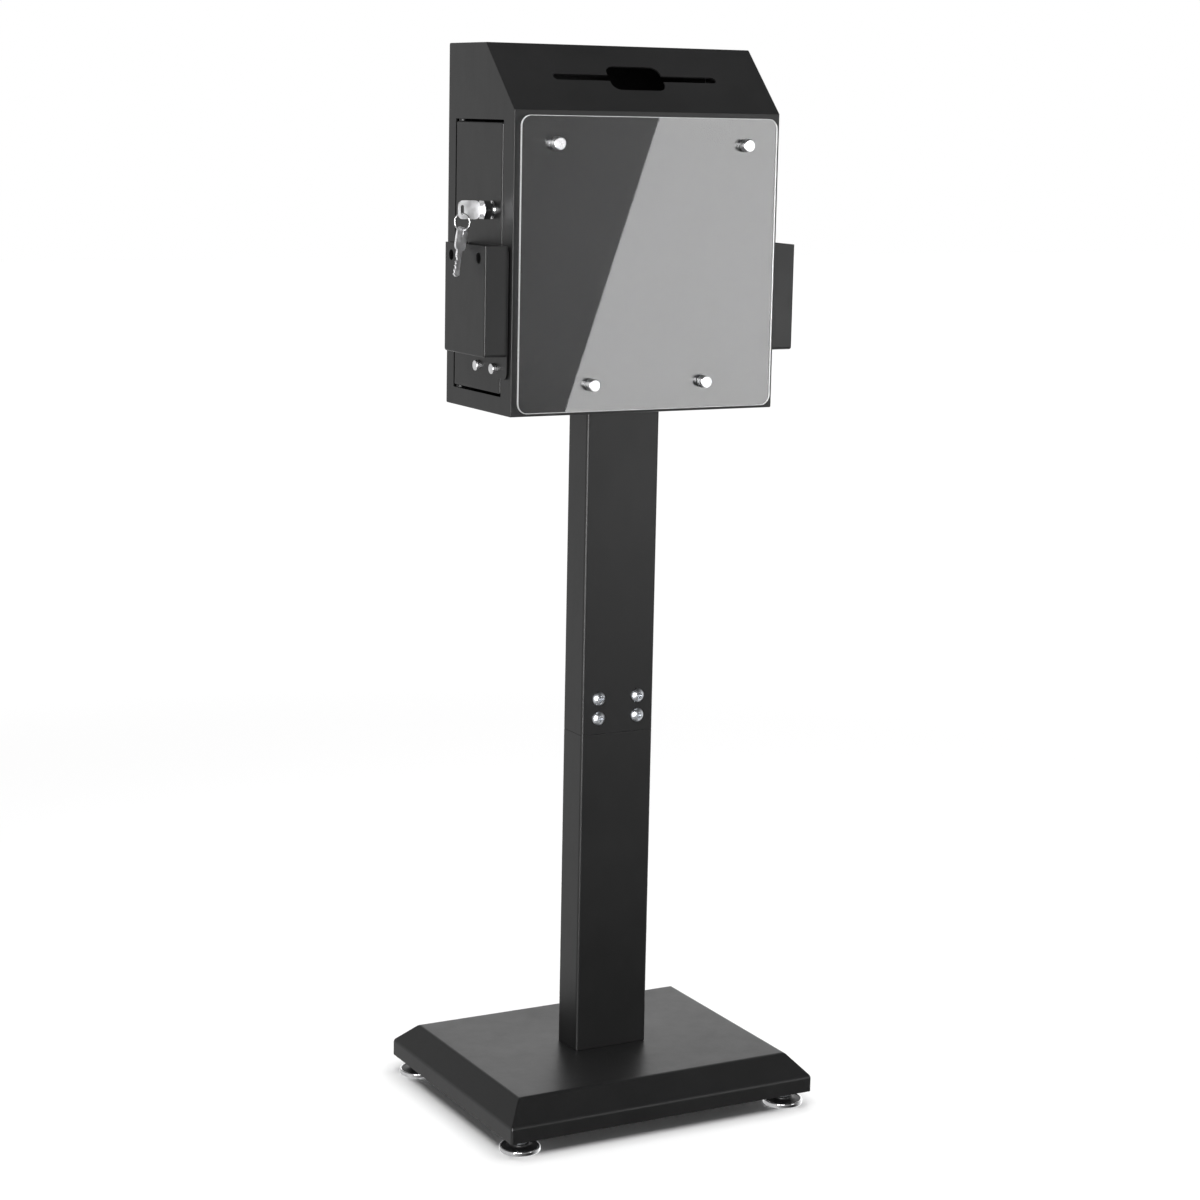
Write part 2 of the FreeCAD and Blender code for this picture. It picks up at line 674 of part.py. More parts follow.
def build_lock():
    build_lock_body()
    nut = hexagon_piece("lock_nut", "lock_nut_flats", "-sheet - lock_nut_thick", "lock_nut_thick",
                        "barrel_wide")
    finish(on_lock_axis(nut), "lock_nut")
    plug = turned("lock_plug", [("0", CAM_FACE), ("plug_wide / 2", CAM_FACE),
                                ("plug_wide / 2", "lock_out - plug_step"),
                                ("plug_head / 2", "lock_out - plug_step"),
                                ("plug_head / 2", PLUG_FACE), ("0", PLUG_FACE)])
    tail = sketch_on(plug, "tail", "XY_Plane", f"{CAM_FACE} - cam_thick")
    draw_rectangle(tail, ("-tail_wide / 2", "tail_wide / 2"), ("-tail_wide / 2", "tail_wide / 2"))
    pad(plug, tail, "cam_thick")
    keyway = sketch_on(plug, "keyway", "XY_Plane", PLUG_FACE)
    draw_rectangle(keyway, ("-blade_wide / 2 - keyway_fit", "blade_wide / 2 + keyway_fit"),
                   ("-key_thick / 2 - keyway_fit", "key_thick / 2 + keyway_fit"))
    pocket(plug, keyway, f"{PLUG_FACE} - {BOW_START} + blade_long + keyway_fit")
    thread = sketch_on(plug, "thread", "XY_Plane", f"{CAM_FACE} - cam_thick + 3")
    draw_circle(thread, "cam_screw_wide")
    pocket(plug, thread, "3")
    finish(on_lock_axis(plug), "lock_plug")
    cam = new_body("lock_cam")
    outline = sketch_on(cam, "outline", "XY_Plane", f"{CAM_FACE} - cam_thick")
    draw_rounded(outline, ("-cam_wide / 2", "cam_reach"), ("-cam_wide / 2", "cam_wide / 2"),
                 "cam_wide / 2 - 0.5")
    draw_rectangle(outline, ("-tail_wide / 2 - 0.05", "tail_wide / 2 + 0.05"),
                   ("-tail_wide / 2 - 0.05", "tail_wide / 2 + 0.05"))
    pad(cam, outline, "cam_thick")
    finish(on_lock_axis(cam), "lock_cam")
    screw_seat = f"{CAM_FACE} - cam_thick"
    screw = turned("cam_screw", [("0", f"{screw_seat} + 2.8"), ("cam_screw_wide / 2", f"{screw_seat} + 2.8"),
                                 ("cam_screw_wide / 2", screw_seat), ("cam_screw_head / 2", screw_seat),
                                 ("cam_screw_head / 2", f"{screw_seat} - 1.6"),
                                 ("cam_screw_head / 2 - 1", f"{screw_seat} - 2.6"),
                                 ("0", f"{screw_seat} - 2.6")])
    finish(on_lock_axis(screw), "cam_screw")


def key_blank(name, bow_wide, cross_hole):
    """A flat key along its own X: the tip of the blade at x = 0, the bow at the far end."""
    body = new_body(name)
    start = "-key_thick / 2"
    blade = sketch_on(body, "blade", "XY_Plane", start)
    top = "blade_wide / 2"
    points = [("1.6", "-blade_wide / 2"), ("blade_long + 1", "-blade_wide / 2"), ("blade_long + 1", top)]
    for near, far, deep in reversed(KEY_CUTS):
        points += [(f"{far + deep}", top), (f"{far}", f"{top} - {deep}"),
                   (f"{near}", f"{top} - {deep}"), (f"{near - deep}", top)]
    points += [("1.6", top), ("0", "blade_wide / 2 - 2.6"), ("0", "-blade_wide / 2 + 2.6")]
    draw_polygon(blade, points)
    pad(body, blade, "key_thick")
    bow = sketch_on(body, "bow", "XY_Plane", start)
    end = "(blade_long + bow_long)"
    draw_rounded(bow, ("blade_long", end), (f"-{bow_wide} / 2", f"{bow_wide} / 2"), "bow_round")
    pad(body, bow, "key_thick")
    hole = sketch_on(body, "hole", "XY_Plane", "key_thick / 2")
    if cross_hole:
        draw_rounded(hole, (f"{end} - key_hole_edge - key_hole_wide", f"{end} - key_hole_edge"),
                     ("-key_hole_long / 2", "key_hole_long / 2"), "key_hole_wide / 2 - 0.2")
    else:
        draw_slot(hole, (f"({end} - key_hole_edge - spare_hole_long)", f"({end} - key_hole_edge)"),
                  "0", "spare_hole_wide")
    pocket(body, hole, "key_thick")
    return body


def level_way(turn):
    """A level direction that is turned from the front (-Y) towards the right by a named angle."""
    angle = math.radians(size(turn))
    return V(math.sin(angle), -math.cos(angle), 0)


def build_keys():
    """A key in the lock, a ring through its bow and a spare key hanging on the ring."""
    key = key_blank("key", "bow_wide", cross_hole=True)
    across = FreeCAD.Rotation(V(-1, 0, 0), V(0, 0, 1), V(0, 1, 0), "ZXY")
    place(key, f"-{SIDE} - {BOW_START} + blade_long", "-lock_front", "lock_tall", across)
    finish(key, "key")
    wire_way = level_way("ring_turn")
    ring = doc.addObject("Part::Torus", "key_ring")
    bind(ring, "Radius1", "ring_radius")
    bind(ring, "Radius2", "ring_wire / 2")
    place(ring, RING_OUT, "-lock_front", f"{RING_TOP} - ring_radius",
          FreeCAD.Rotation(V(0, 0, 1), wire_way.cross(V(0, 0, 1))))
    finish(ring, "key_ring")
    spare = key_blank("spare_key", "spare_bow", cross_hole=False)
    flat_way = level_way("spare_turn")
    lean = math.radians(size("spare_lean"))
    up = V(0, 0, 1) * math.cos(lean) - flat_way.cross(V(0, 0, 1)) * math.sin(lean)
    hang = size("blade_long + bow_long - key_hole_edge - ring_wire / 2 - ring_slack")
    ring_foot = V(size(RING_OUT), -size("lock_front"), size(f"{RING_TOP} - 2 * ring_radius"))
    spare.Placement = FreeCAD.Placement(
        ring_foot - up * hang, FreeCAD.Rotation(up, flat_way.cross(up), flat_way, "ZXY"))
    finish(spare, "spare_key")


# ---------------------------------------------------------------- leaflet pockets

def build_pocket(hand, turn, side_x):
    """A folded open-topped pocket. Its own Z points away from the box, its own Y runs to the back."""
    outer = "pocket_out"
    plate_back = "pocket_spacer"
    plate_front = "(pocket_spacer + pocket_sheet)"
    y = ("-pocket_front", POCKET_BACK)
    up = 1 if hand == "left" else -1

    def level(text):
        """A height, along the pocket's own X, which points up on the left and down on the right."""
        return f"{'' if up > 0 else '-'}({text})"

    def span(low, high):
        return (level(low), level(high)) if up > 0 else (level(high), level(low))

    body = new_body(f"pocket_{hand}")
    back = sketch_on(body, "back", "XY_Plane", plate_back)
    draw_rounded(back, span(PLATE_LOW, "pocket_high"), y, "pocket_round")
    pad(body, back, "pocket_sheet")
    case = sketch_on(body, "case", "XY_Plane", plate_back)
    draw_rectangle(case, span("pocket_low", "pocket_high"), y)
    pad(body, case, f"{outer} - {plate_back}")
    inside = sketch_on(body, "inside", "XY_Plane", f"{outer} - pocket_sheet")
    draw_rectangle(inside, span("pocket_low + pocket_sheet", "pocket_high + 1"),
                   (f"{y[0]} + pocket_sheet", f"{y[1]} - pocket_sheet"))
    pocket(body, inside, f"{outer} - pocket_sheet - {plate_front}")
    holes = sketch_on(body, "holes", "XY_Plane", outer)
    for sign in "-+":
        draw_circle(holes, "pocket_hole_wide", level("pocket_hole_tall"),
                    f"({POCKET_MIDDLE} {sign} pocket_hole_pitch / 2)")
    pocket(body, holes, "pocket_sheet")
    screw_holes = sketch_on(body, "screw_holes", "XY_Plane", plate_front)
    for across, tall in pocket_screw_places():
        draw_circle(screw_holes, "small_thread + 2 * hole_play", level(tall), across)
    pocket(body, screw_holes, "pocket_sheet")
    finish(place(body, side_x, "0", "0", turn), f"pocket_{hand}")

    screws, nuts, spacers = [], [], []
    head = plate_front
    for number, (across, tall) in enumerate(pocket_screw_places(), start=1):
        name = f"pocket_{hand}_{number}"
        screw = turned(f"{name}_screw", [("0", "-sheet - small_nut_thick - 1"),
                                         ("small_thread / 2", "-sheet - small_nut_thick - 1"),
                                         ("small_thread / 2", head), ("small_head / 2", head),
                                         ("small_head / 2", f"{head} + small_head_tall - 0.6"),
                                         ("small_head / 2 - 0.6", f"{head} + small_head_tall"),
                                         ("0", f"{head} + small_head_tall")])
        nut = hexagon_piece(f"{name}_nut", "small_nut_flats", "-sheet - small_nut_thick",
                            "small_nut_thick", "small_thread")
        spacer = turned(f"{name}_spacer", [("small_thread / 2 + hole_play", "0"), ("small_head / 2", "0"),
                                           ("small_head / 2", "pocket_spacer"),
                                           ("small_thread / 2 + hole_play", "pocket_spacer")])
        for piece, pile in ((screw, screws), (nut, nuts), (spacer, spacers)):
            pile.append(place(piece, side_x, across, tall, turn))
    for number, sign in enumerate("-+", start=1):
        pad_x = (f"({side_x})", f"({side_x} + pocket_spacer)")
        if hand == "left":
            pad_x = (f"({side_x} - pocket_spacer)", f"({side_x})")
        middle = f"({POCKET_MIDDLE} + 12 {sign} 22)"
        spacers.append(block(f"pocket_{hand}_pad{number}", pad_x, (f"({middle} - 5)", f"({middle} + 5)"),
                             ("(pocket_high - 24)", "(pocket_high - 8)")))
    group(f"pocket_{hand}_screws", screws)
    group(f"pocket_{hand}_nuts", nuts)
    group(f"pocket_{hand}_spacers", spacers)


# ---------------------------------------------------------------- sign panel

def build_sign():
    body = new_body("sign_panel")
    outline = sketch_on(body, "outline", "XZ_Plane", f"-{SIGN_BACK}")
    draw_rounded(outline, ("-sign_wide / 2", "sign_wide / 2"), (SIGN_LOW, SIGN_HIGH), "sign_round")
    for x, z in sign_studs():
        draw_circle(outline, "sign_thread + 2 * hole_play", x, z)
    pad(body, outline, "sign_thick")
    finish(body, "sign_panel")
    barrels, caps, nuts = [], [], []
    for number, (x, z) in enumerate(sign_studs(), start=1):
        barrel = turned(f"barrel{number}", [("sign_thread / 2 + hole_play", "0"), ("standoff_wide / 2", "0"),
                                            ("standoff_wide / 2", "standoff_barrel"),
                                            ("sign_thread / 2 + hole_play", "standoff_barrel")])
        seat = "standoff_barrel + sign_thick"
        face = f"{seat} + standoff_cap"
        tip = "-sheet - sign_nut_thick - 1"
        cap = turned(f"cap{number}", [("0", tip), ("sign_thread / 2", tip), ("sign_thread / 2", seat),
                                      ("standoff_wide / 2", seat), ("standoff_wide / 2", f"{face} - 0.7"),
                                      ("standoff_wide / 2 - 0.7", face), ("0", face)])
        nut = hexagon_piece(f"sign_nut{number}", "sign_nut_flats", "-sheet - sign_nut_thick",
                            "sign_nut_thick", "sign_thread")
        for piece, pile in ((barrel, barrels), (cap, caps), (nut, nuts)):
            pile.append(place(piece, x, FRONT, z, TO_FRONT))
    group("standoff_barrels", barrels)
    group("standoff_caps", caps)
    group("standoff_nuts", nuts)


# ---------------------------------------------------------------- pole

def tube(name, wide, deep, wall, radius, z):
    """A rectangular tube about the Z axis."""
    body = new_body(name)
    section = sketch_on(body, "section", "XY_Plane", z[0])
    draw_rounded(section, (f"-({wide}) / 2", f"({wide}) / 2"), (f"-({deep}) / 2", f"({deep}) / 2"), radius)
    draw_rounded(section, (f"-({wide}) / 2 + {wall}", f"({wide}) / 2 - {wall}"),
                 (f"-({deep}) / 2 + {wall}", f"({deep}) / 2 - {wall}"), f"({radius}) - {wall} / 2")
    pad(body, section, f"({z[1]}) - ({z[0]})")
    return body


def pole_screw_places():
    """The four screws above the seam, as (x, z) formulas."""
    low = "(pole_joint + screw_above_seam)"
    return [(f"({sign}screw_pitch_across / 2)", row)
            for row in (low, f"({low} + screw_pitch_up)") for sign in ("-", "")]


def drill_front(body, wide, front, deep):
    """Drill the four screw holes into the front wall of a tube."""
    holes = sketch_on(body, "screw_holes", "XZ_Plane", front)
    for x, z in pole_screw_places():
        draw_circle(holes, wide, x, z)
    pocket(body, holes, deep)


def build_pole():
    outer = ("pole_wide", "pole_deep", "pole_wall", "pole_round")
    finish(tube("pole_lower", *outer, ("base_top", "pole_joint")), "pole_lower")
    upper = tube("pole_upper", *outer, ("pole_joint", "box_low"))
    drill_front(upper, "pole_thread + 2 * hole_play", "pole_deep / 2", "pole_wall")
    finish(upper, "pole_upper")
    inner_wide = "pole_wide - 2 * pole_wall - 2 * sleeve_gap"
    inner_deep = "pole_deep - 2 * pole_wall - 2 * sleeve_gap"
    sleeve = tube("pole_sleeve", inner_wide, inner_deep, "sleeve_wall", "(pole_round - pole_wall / 2 + 1)",
                  ("(pole_joint - sleeve_down)", "(pole_joint + sleeve_up)"))
    drill_front(sleeve, "pole_thread", "(pole_deep / 2 - pole_wall - sleeve_gap)", "sleeve_wall")
    finish(sleeve, "pole_sleeve")
    screws = []
    for number, (x, z) in enumerate(pole_screw_places(), start=1):
        tip = "-pole_wall - sleeve_gap - sleeve_wall - 2"
        screw = turned(f"pole_screw{number}", [("0", tip), ("pole_thread / 2", tip), ("pole_thread / 2", "0"),
                                               ("pole_head / 2", "0"), ("pole_head / 2", "1.1"),
                                               ("pole_head / 2 - 1.2", "2.7"),
                                               ("pole_head / 2 - 3.4", "pole_head_tall"),
                                               ("0", "pole_head_tall")])
        cross = sketch_on(screw, "cross", "XY_Plane", "pole_head_tall")
        draw_polygon(cross, [("-3.2", "-0.6"), ("-0.6", "-0.6"), ("-0.6", "-3.2"), ("0.6", "-3.2"),
                             ("0.6", "-0.6"), ("3.2", "-0.6"), ("3.2", "0.6"), ("0.6", "0.6"),
                             ("0.6", "3.2"), ("-0.6", "3.2"), ("-0.6", "0.6"), ("-3.2", "0.6")])
        pocket(screw, cross, "2.4")
        screws.append(place(screw, x, "-pole_deep / 2", z, TO_FRONT))
    group("pole_screws", screws)
    fit = "(pole_wall + sleeve_gap)"
    x = (f"(-pole_wide / 2 + {fit})", f"(pole_wide / 2 - {fit})")
    y = (f"(-pole_deep / 2 + {fit})", f"(pole_deep / 2 - {fit})")
    threads = [("big_thread", along, across) for along, across in end_bolt_places()]
    for label, z in (("pole_foot_block", ("base_top", "(base_top + end_block)")),
                     ("pole_head_block", ("(box_low - end_block)", "box_low"))):
        finish(plate(label, x, y, z, threads, "pole_round"), label)


def build_box_fixing():
    """Two bolts from inside the box into the top of the pole, on a load-spreading plate."""
    low = "(box_low + sheet)"
    holes = [("big_thread + 2 * hole_play", x, y) for x, y in end_bolt_places()]
    spread = plate("spreader_plate", ("-spread_wide / 2", "spread_wide / 2"),
                   ("-spread_deep / 2", "spread_deep / 2"), (low, f"({low} + spread_thick)"), holes, "plate_round")
    finish(spread, "spreader_plate")
    seat = f"({low} + spread_thick)"
    bolts, washers = [], []
    for number, (x, y) in enumerate(end_bolt_places(), start=1):
        washer = turned(f"box_washer{number}", [("big_thread / 2 + hole_play", "0"), ("big_washer / 2", "0"),
                                                ("big_washer / 2", "big_washer_thick"),
                                                ("big_thread / 2 + hole_play", "big_washer_thick")])
        bolt = hex_bolt(f"box_bolt{number}", "big_head_flats", "big_head_tall", "big_thread",
                        "big_washer_thick + spread_thick + sheet + end_block + 4")
        washers.append(place(washer, x, y, seat))
        bolts.append(place(bolt, x, y, f"{seat} + big_washer_thick"))
    group("box_washers", washers)
    group("box_bolts", bolts)
    dome = turned("floor_plug", [("0", "-dome_tall"), ("dome_wide / 4", "-dome_tall * 0.92"),
                                 ("dome_wide / 2 - 1", "-dome_tall * 0.5"), ("dome_wide / 2", "0"),
                                 ("dome_stem / 2", "0"), ("dome_stem / 2", "sheet"),
                                 ("dome_stem / 2 - 0.8", "sheet + 3"), ("0", "sheet + 3")])
    finish(place(dome, "plug_side", "-plug_fore", "box_low"), "floor_plug")


# ---------------------------------------------------------------- base and feet

def base_rectangle(sketch, wide, deep, inset):
    draw_rectangle(sketch, (f"-{wide} / 2 + {inset}", f"{wide} / 2 - {inset}"),
                   (f"base_back - {deep} / 2 + {inset}", f"base_back + {deep} / 2 - {inset}"))


def build_base_cover():
    """A pan that is open below: an upright rim, a sloped band and a flat crown."""
    body = new_body("base_cover")
    bend = "sheet * mitre"
    layers = {"outer": [("rim_low", "base_wide", "base_deep", "0"), ("rim_high", "base_wide", "base_deep", "0"),
                        ("base_top", "crown_wide", "crown_deep", "0")],
              "inner": [("rim_low", "base_wide", "base_deep", "sheet"),
                        (f"rim_high - {bend}", "base_wide", "base_deep", "sheet"),
                        ("base_top - sheet", "crown_wide", "crown_deep", bend)]}
    for kind, feature_type in (("outer", "AdditiveLoft"), ("inner", "SubtractiveLoft")):
        sketches = []
        for number, (lift, wide, deep, inset) in enumerate(layers[kind]):
            sketch = sketch_on(body, f"{kind}{number}", "XY_Plane", lift)
            base_rectangle(sketch, wide, deep, inset)
            sketches.append(sketch)
        doc.recompute()
        loft = body.newObject(f"PartDesign::{feature_type}", f"base_{kind}_loft")
        loft.Profile = sketches[0]
        loft.Sections = sketches[1:]
        loft.Ruled = True
        doc.recompute()
    holes = sketch_on(body, "holes", "XY_Plane", "base_top")
    for x, y in end_bolt_places():
        draw_circle(holes, "big_thread + 2 * hole_play", x, y)
    pocket(body, holes, "sheet")
    finish(body, "base_cover")


def foot_places():
    """The four feet as (name, side sign, depth sign)."""
    return [(f"{row}_{hand}", across, along) for row, along in (("front", "-"), ("rear", "+"))
            for hand, across in (("left", "-"), ("right", "+"))]


def build_base_fixing():
    under = "(base_top - sheet)"
    holes = [("big_thread + 2 * hole_play", x, y) for x, y in end_bolt_places()]
    ballast = plate("ballast_plate", ("-ballast_wide / 2", "ballast_wide / 2"),
                    ("(base_back - ballast_deep / 2)", "(base_back + ballast_deep / 2)"),
                    (f"({under} - ballast_thick)", under), holes, "plate_round")
    finish(ballast, "ballast_plate")
    bolts, washers = [], []
    seat = f"({under} - ballast_thick)"
    for number, (x, y) in enumerate(end_bolt_places(), start=1):
        washer = turned(f"base_washer{number}", [("big_thread / 2 + hole_play", "-big_washer_thick"),
                                                 ("big_washer / 2", "-big_washer_thick"),
                                                 ("big_washer / 2", "0"), ("big_thread / 2 + hole_play", "0")])
        bolt = hex_bolt(f"base_bolt{number}", "big_head_flats", "big_head_tall", "big_thread",
                        "big_washer_thick + ballast_thick + sheet + end_block + 4")
        washers.append(place(washer, x, y, seat))
        bolts.append(place(bolt, x, y, f"{seat} - big_washer_thick", UPSIDE_DOWN))
    group("base_washers", washers)
    group("base_bolts", bolts)


def build_feet():
    gussets, nuts = [], []
    for name, across, along in foot_places():
        x = f"({across}foot_pitch_wide / 2)"
        y = f"(base_back {along} foot_pitch_deep / 2)"
        wall_x = f"({across}(base_wide / 2 - sheet))"
        wall_y = f"(base_back {along} (base_deep / 2 - sheet))"
        inner_x = f"({across}(base_wide / 2 - sheet - gusset_long))"
        inner_y = f"(base_back {along} (base_deep / 2 - sheet - gusset_long))"
        gusset = block(f"gusset_{name}", sorted((wall_x, inner_x), key=size), sorted((wall_y, inner_y), key=size),
                       ("gusset_low", "(gusset_low + gusset_thick)"))
        bore = rod(f"gusset_bore_{name}", "stud_wide + 2 * hole_play", "gusset_thick + 2", x, y, "gusset_low - 1")
        gussets.append(carved(f"gusset_{name}", gusset, [bore]))
        nut = hexagon_piece(f"foot_nut_{name}", "foot_nut_flats", "0", "foot_nut_thick",
                            "stud_wide + 2 * pin_fit")
        nuts.append(place(nut, x, y, "gusset_low + gusset_thick"))
        foot = turned(f"foot_pad_{name}", [("0", "0"), ("foot_wide / 2", "0"), ("foot_wide / 2", "foot_lip"),
                                           ("foot_wide / 2 - 1.2", "foot_lip + 1"),
                                           ("foot_crown / 2", "foot_tall"),
                                           ("stud_pivot / 2 + pin_fit", "foot_tall"),
                                           ("stud_pivot / 2 + pin_fit", "foot_tall - foot_socket"),
                                           ("0", "foot_tall - foot_socket")])
        finish(place(foot, x, y, "0"), f"foot_pad_{name}")
        collar = "(foot_tall + stud_collar_tall)"
        stud = turned(f"foot_stud_{name}", [("0", "foot_tall - foot_socket + 0.3"),
                                            ("stud_pivot / 2", "foot_tall - foot_socket + 0.3"),
                                            ("stud_pivot / 2", "foot_tall"), ("stud_collar / 2", "foot_tall"),
                                            ("stud_collar / 2", f"{collar} - 0.5"),
                                            ("stud_collar / 2 - 0.5", collar), ("stud_wide / 2", collar),
                                            ("stud_wide / 2", "stud_top - 1"),
                                            ("stud_wide / 2 - 1", "stud_top"), ("0", "stud_top")])
        finish(place(stud, x, y, "0"), f"foot_stud_{name}")
    group("foot_gussets", gussets)
    group("foot_nuts", nuts)


def check_and_write():
    """Refuse any failed or empty object, then write one STEP file per sub-part."""
    doc.recompute()
    failed = [item.Name for item in doc.Objects if {"Invalid", "Error"} & set(item.State)]
    if failed:
        raise RuntimeError(f"failed objects: {failed}")
    os.makedirs("parts", exist_ok=True)
    for piece in finished:
        shape = piece.Shape
        if shape.isNull() or not shape.isValid() or not shape.Solids:
            raise RuntimeError(f"{piece.Label} has no valid solid")
        shape.exportStep(f"parts/{piece.Label}.step")
        print(f"{piece.Label}: {len(shape.Solids)} solids, {shape.Volume:.0f} mm3")


build_front_panel()
build_slope_panel()
build_top_panel()
build_back_panel()
build_floor_panel()
build_side_panels()
build_door()
build_hinges()
build_lock()
build_keys()
build_pocket("left", TO_LEFT, f"-{SIDE}")
build_pocket("right", TO_RIGHT, SIDE)
build_sign()
build_pole()
build_box_fixing()
build_base_cover()
build_base_fixing()
build_feet()
check_and_write()
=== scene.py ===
"""Looks of a floor-standing collection box, laid out as an add-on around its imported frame.

Everything is in metres. +Z is up, the sign faces -Y and the lockable door faces -X.
"""

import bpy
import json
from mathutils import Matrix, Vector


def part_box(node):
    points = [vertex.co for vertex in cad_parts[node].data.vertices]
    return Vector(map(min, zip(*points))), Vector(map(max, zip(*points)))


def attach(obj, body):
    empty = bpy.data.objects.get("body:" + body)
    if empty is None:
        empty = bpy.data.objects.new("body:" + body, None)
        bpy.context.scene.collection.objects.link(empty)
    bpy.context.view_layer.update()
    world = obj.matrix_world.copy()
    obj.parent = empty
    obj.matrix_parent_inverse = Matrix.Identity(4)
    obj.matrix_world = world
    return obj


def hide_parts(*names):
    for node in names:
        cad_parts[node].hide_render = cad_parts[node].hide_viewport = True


bl_info = {
    "name": "Collection box looks",
    "version": (1, 0, 0),
    "blender": (4, 5, 0),
    "location": "View3D > Sidebar > Collection box",
    "description": "Folded steel box, pole, base, sign and fittings with their finishes",
    "category": "Object",
}

import json
import math

import bmesh
import bpy
import numpy as np
from bpy.props import FloatProperty, FloatVectorProperty, PointerProperty
from mathutils import Euler, Vector
from mathutils.geometry import tessellate_polygon

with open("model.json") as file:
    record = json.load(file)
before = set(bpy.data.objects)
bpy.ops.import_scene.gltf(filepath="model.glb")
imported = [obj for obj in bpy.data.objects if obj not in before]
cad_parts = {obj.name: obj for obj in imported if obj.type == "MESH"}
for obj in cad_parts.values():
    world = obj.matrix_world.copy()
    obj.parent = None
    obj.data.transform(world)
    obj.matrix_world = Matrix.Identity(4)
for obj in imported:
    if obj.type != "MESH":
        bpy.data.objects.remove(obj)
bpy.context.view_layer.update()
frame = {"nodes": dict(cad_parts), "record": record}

MM = 0.001
X, Y, Z = np.eye(3)
MERGE = 0.002 * MM          # points closer than this become one
CREASE = math.radians(40)   # a skin's edges sharper than this stay sharp
SLIGHT = 0.2 * MM           # the least easing of a cut edge

FEET = ("front_left", "front_right", "rear_left", "rear_right")
BOX_PANELS = ("front_panel", "slope_panel", "top_panel", "back_panel", "floor_panel",
              "side_left", "side_right")
REPLACED = {*BOX_PANELS, "door_panel", "pocket_left", "pocket_right", "pole_lower", "pole_upper",
            "base_cover", "sign_panel", *(f"foot_pad_{name}" for name in FEET)}
SPECIAL = {"standoff_caps": "satin_chrome", "pocket_left_screws": "satin_chrome",
           "pocket_right_screws": "satin_chrome", "key": "satin_nickel",
           "spare_key": "satin_nickel"}
EASE = 0.15 * MM            # eased edges of the carried-over fittings, unless named here
EASES = {"key_ring": 0.0, "standoff_caps": 0.2 * MM, "lock_body": 0.2 * MM, "key": 0.22 * MM,
         "spare_key": 0.22 * MM}


def corners_of(node):
    """A CAD node's lowest and highest corner as two arrays."""
    low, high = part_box(node)
    return np.array(low), np.array(high)


FRONT_LOW, FRONT_HIGH = corners_of("front_panel")
ROOF_LOW, ROOF_HIGH = corners_of("top_panel")
DOOR_LOW, DOOR_HIGH = corners_of("door_panel")
SIGN_LOW, SIGN_HIGH = corners_of("sign_panel")
BASE_LOW, BASE_HIGH = corners_of("base_cover")


# ---------------------------------------------------------------- sizes and colours

def length(name, description, default, **more):
    """A length property, given in millimetres."""
    return FloatProperty(name=name, description=description, default=default * MM,
                         unit="LENGTH", **more)


def colour_of(name, description, default):
    return FloatVectorProperty(name=name, description=description, default=default,
                               subtype="COLOR", min=0, max=1)


class BoxSizes(bpy.types.PropertyGroup):
    """Sizes of the folded and machined pieces."""
    sheet: length("Sheet", "Thickness of the steel sheet", 1.5, min=0.5 * MM)
    bend: length("Bend", "Outer reach of a sheet's bends", 1.7, min=1.2 * MM)
    seam: length("Seam", "Ground-down reach of the box's welded side seams", 1.0, min=0.4 * MM)
    slot_long: length("Slot length", "Long slot in the sloped face", 176)
    slot_high: length("Slot height", "Height of the long slot", 7.5)
    aperture_long: length("Aperture width", "Wider opening in the slot's middle", 58)
    aperture_high: length("Aperture height", "Height of the wider opening", 31)
    aperture_round: length("Aperture corner", "Corner radius of the wider opening", 9)
    door_gap: length("Door gap", "Gap along the door's free edges", 2.5)
    hinge_gap: length("Hinge gap", "Gap along the door's hinge edge", 1.5)
    opening_round: length("Opening corner", "Corner radius of the door opening", 1.2)
    pocket_sheet: length("Pocket sheet", "Thickness of the leaflet pockets' sheet", 1.2)
    pocket_tall: length("Pocket height", "A pocket's height above its floor", 103)
    pocket_hole: length("Pocket hole", "Diameter of the two holes in a pocket", 10.2)
    pocket_hole_down: length("Pocket hole drop", "Hole's middle below the pocket's top", 11.5)
    pocket_hole_out: length("Pocket hole reach", "Hole's middle from the pocket's middle", 29.7)
    pocket_round: length("Back plate corner", "Corner radius of a pocket's back plate", 6.5)
    pole_wall: length("Pole wall", "Wall of the pole's tube", 2)
    pole_round: length("Pole corner", "Corner radius of the pole's tube", 3)
    pole_ease: length("Pole seam", "Eased edge at the ends of the pole's tubes", 0.5)
    base_crown_wide: length("Crown width", "Width of the base's flat top", 300.6)
    base_crown_deep: length("Crown depth", "Depth of the base's flat top", 233)
    base_rim: length("Base rim", "Height where the base's upright rim ends", 31)
    base_corner: length("Base corner", "Radius of the base's upright corners", 2.6)
    base_bend: length("Base bend", "Outer reach of the base's bends", 2.2)
    sign_round: length("Sign corner", "Corner radius of the sign panel", 10)
    sign_ease: length("Sign edge", "Eased edge of the sign panel", 0.45)


class BoxColours(bpy.types.PropertyGroup):
    """Colours of the finishes."""
    coat: colour_of("Powder coat", "Satin powder coat of box, pole and base",
                    (0.0082, 0.0082, 0.0084))
    chrome: colour_of("Chrome", "Bright plated fittings", (0.74, 0.74, 0.75))
    zinc: colour_of("Zinc", "Zinc plated screws, nuts and bolts", (0.68, 0.7, 0.73))
    primer: colour_of("Primer", "Hidden primed steel", (0.13, 0.13, 0.135))
    plastic: colour_of("Plastic", "Small black mouldings", (0.014, 0.014, 0.015))
    acrylic: colour_of("Acrylic", "Tint of the clear sign panel", (0.975, 0.978, 0.978))
    floor: colour_of("Floor", "Plain studio floor", (0.9, 0.9, 0.9))


# ---------------------------------------------------------------- surfaces

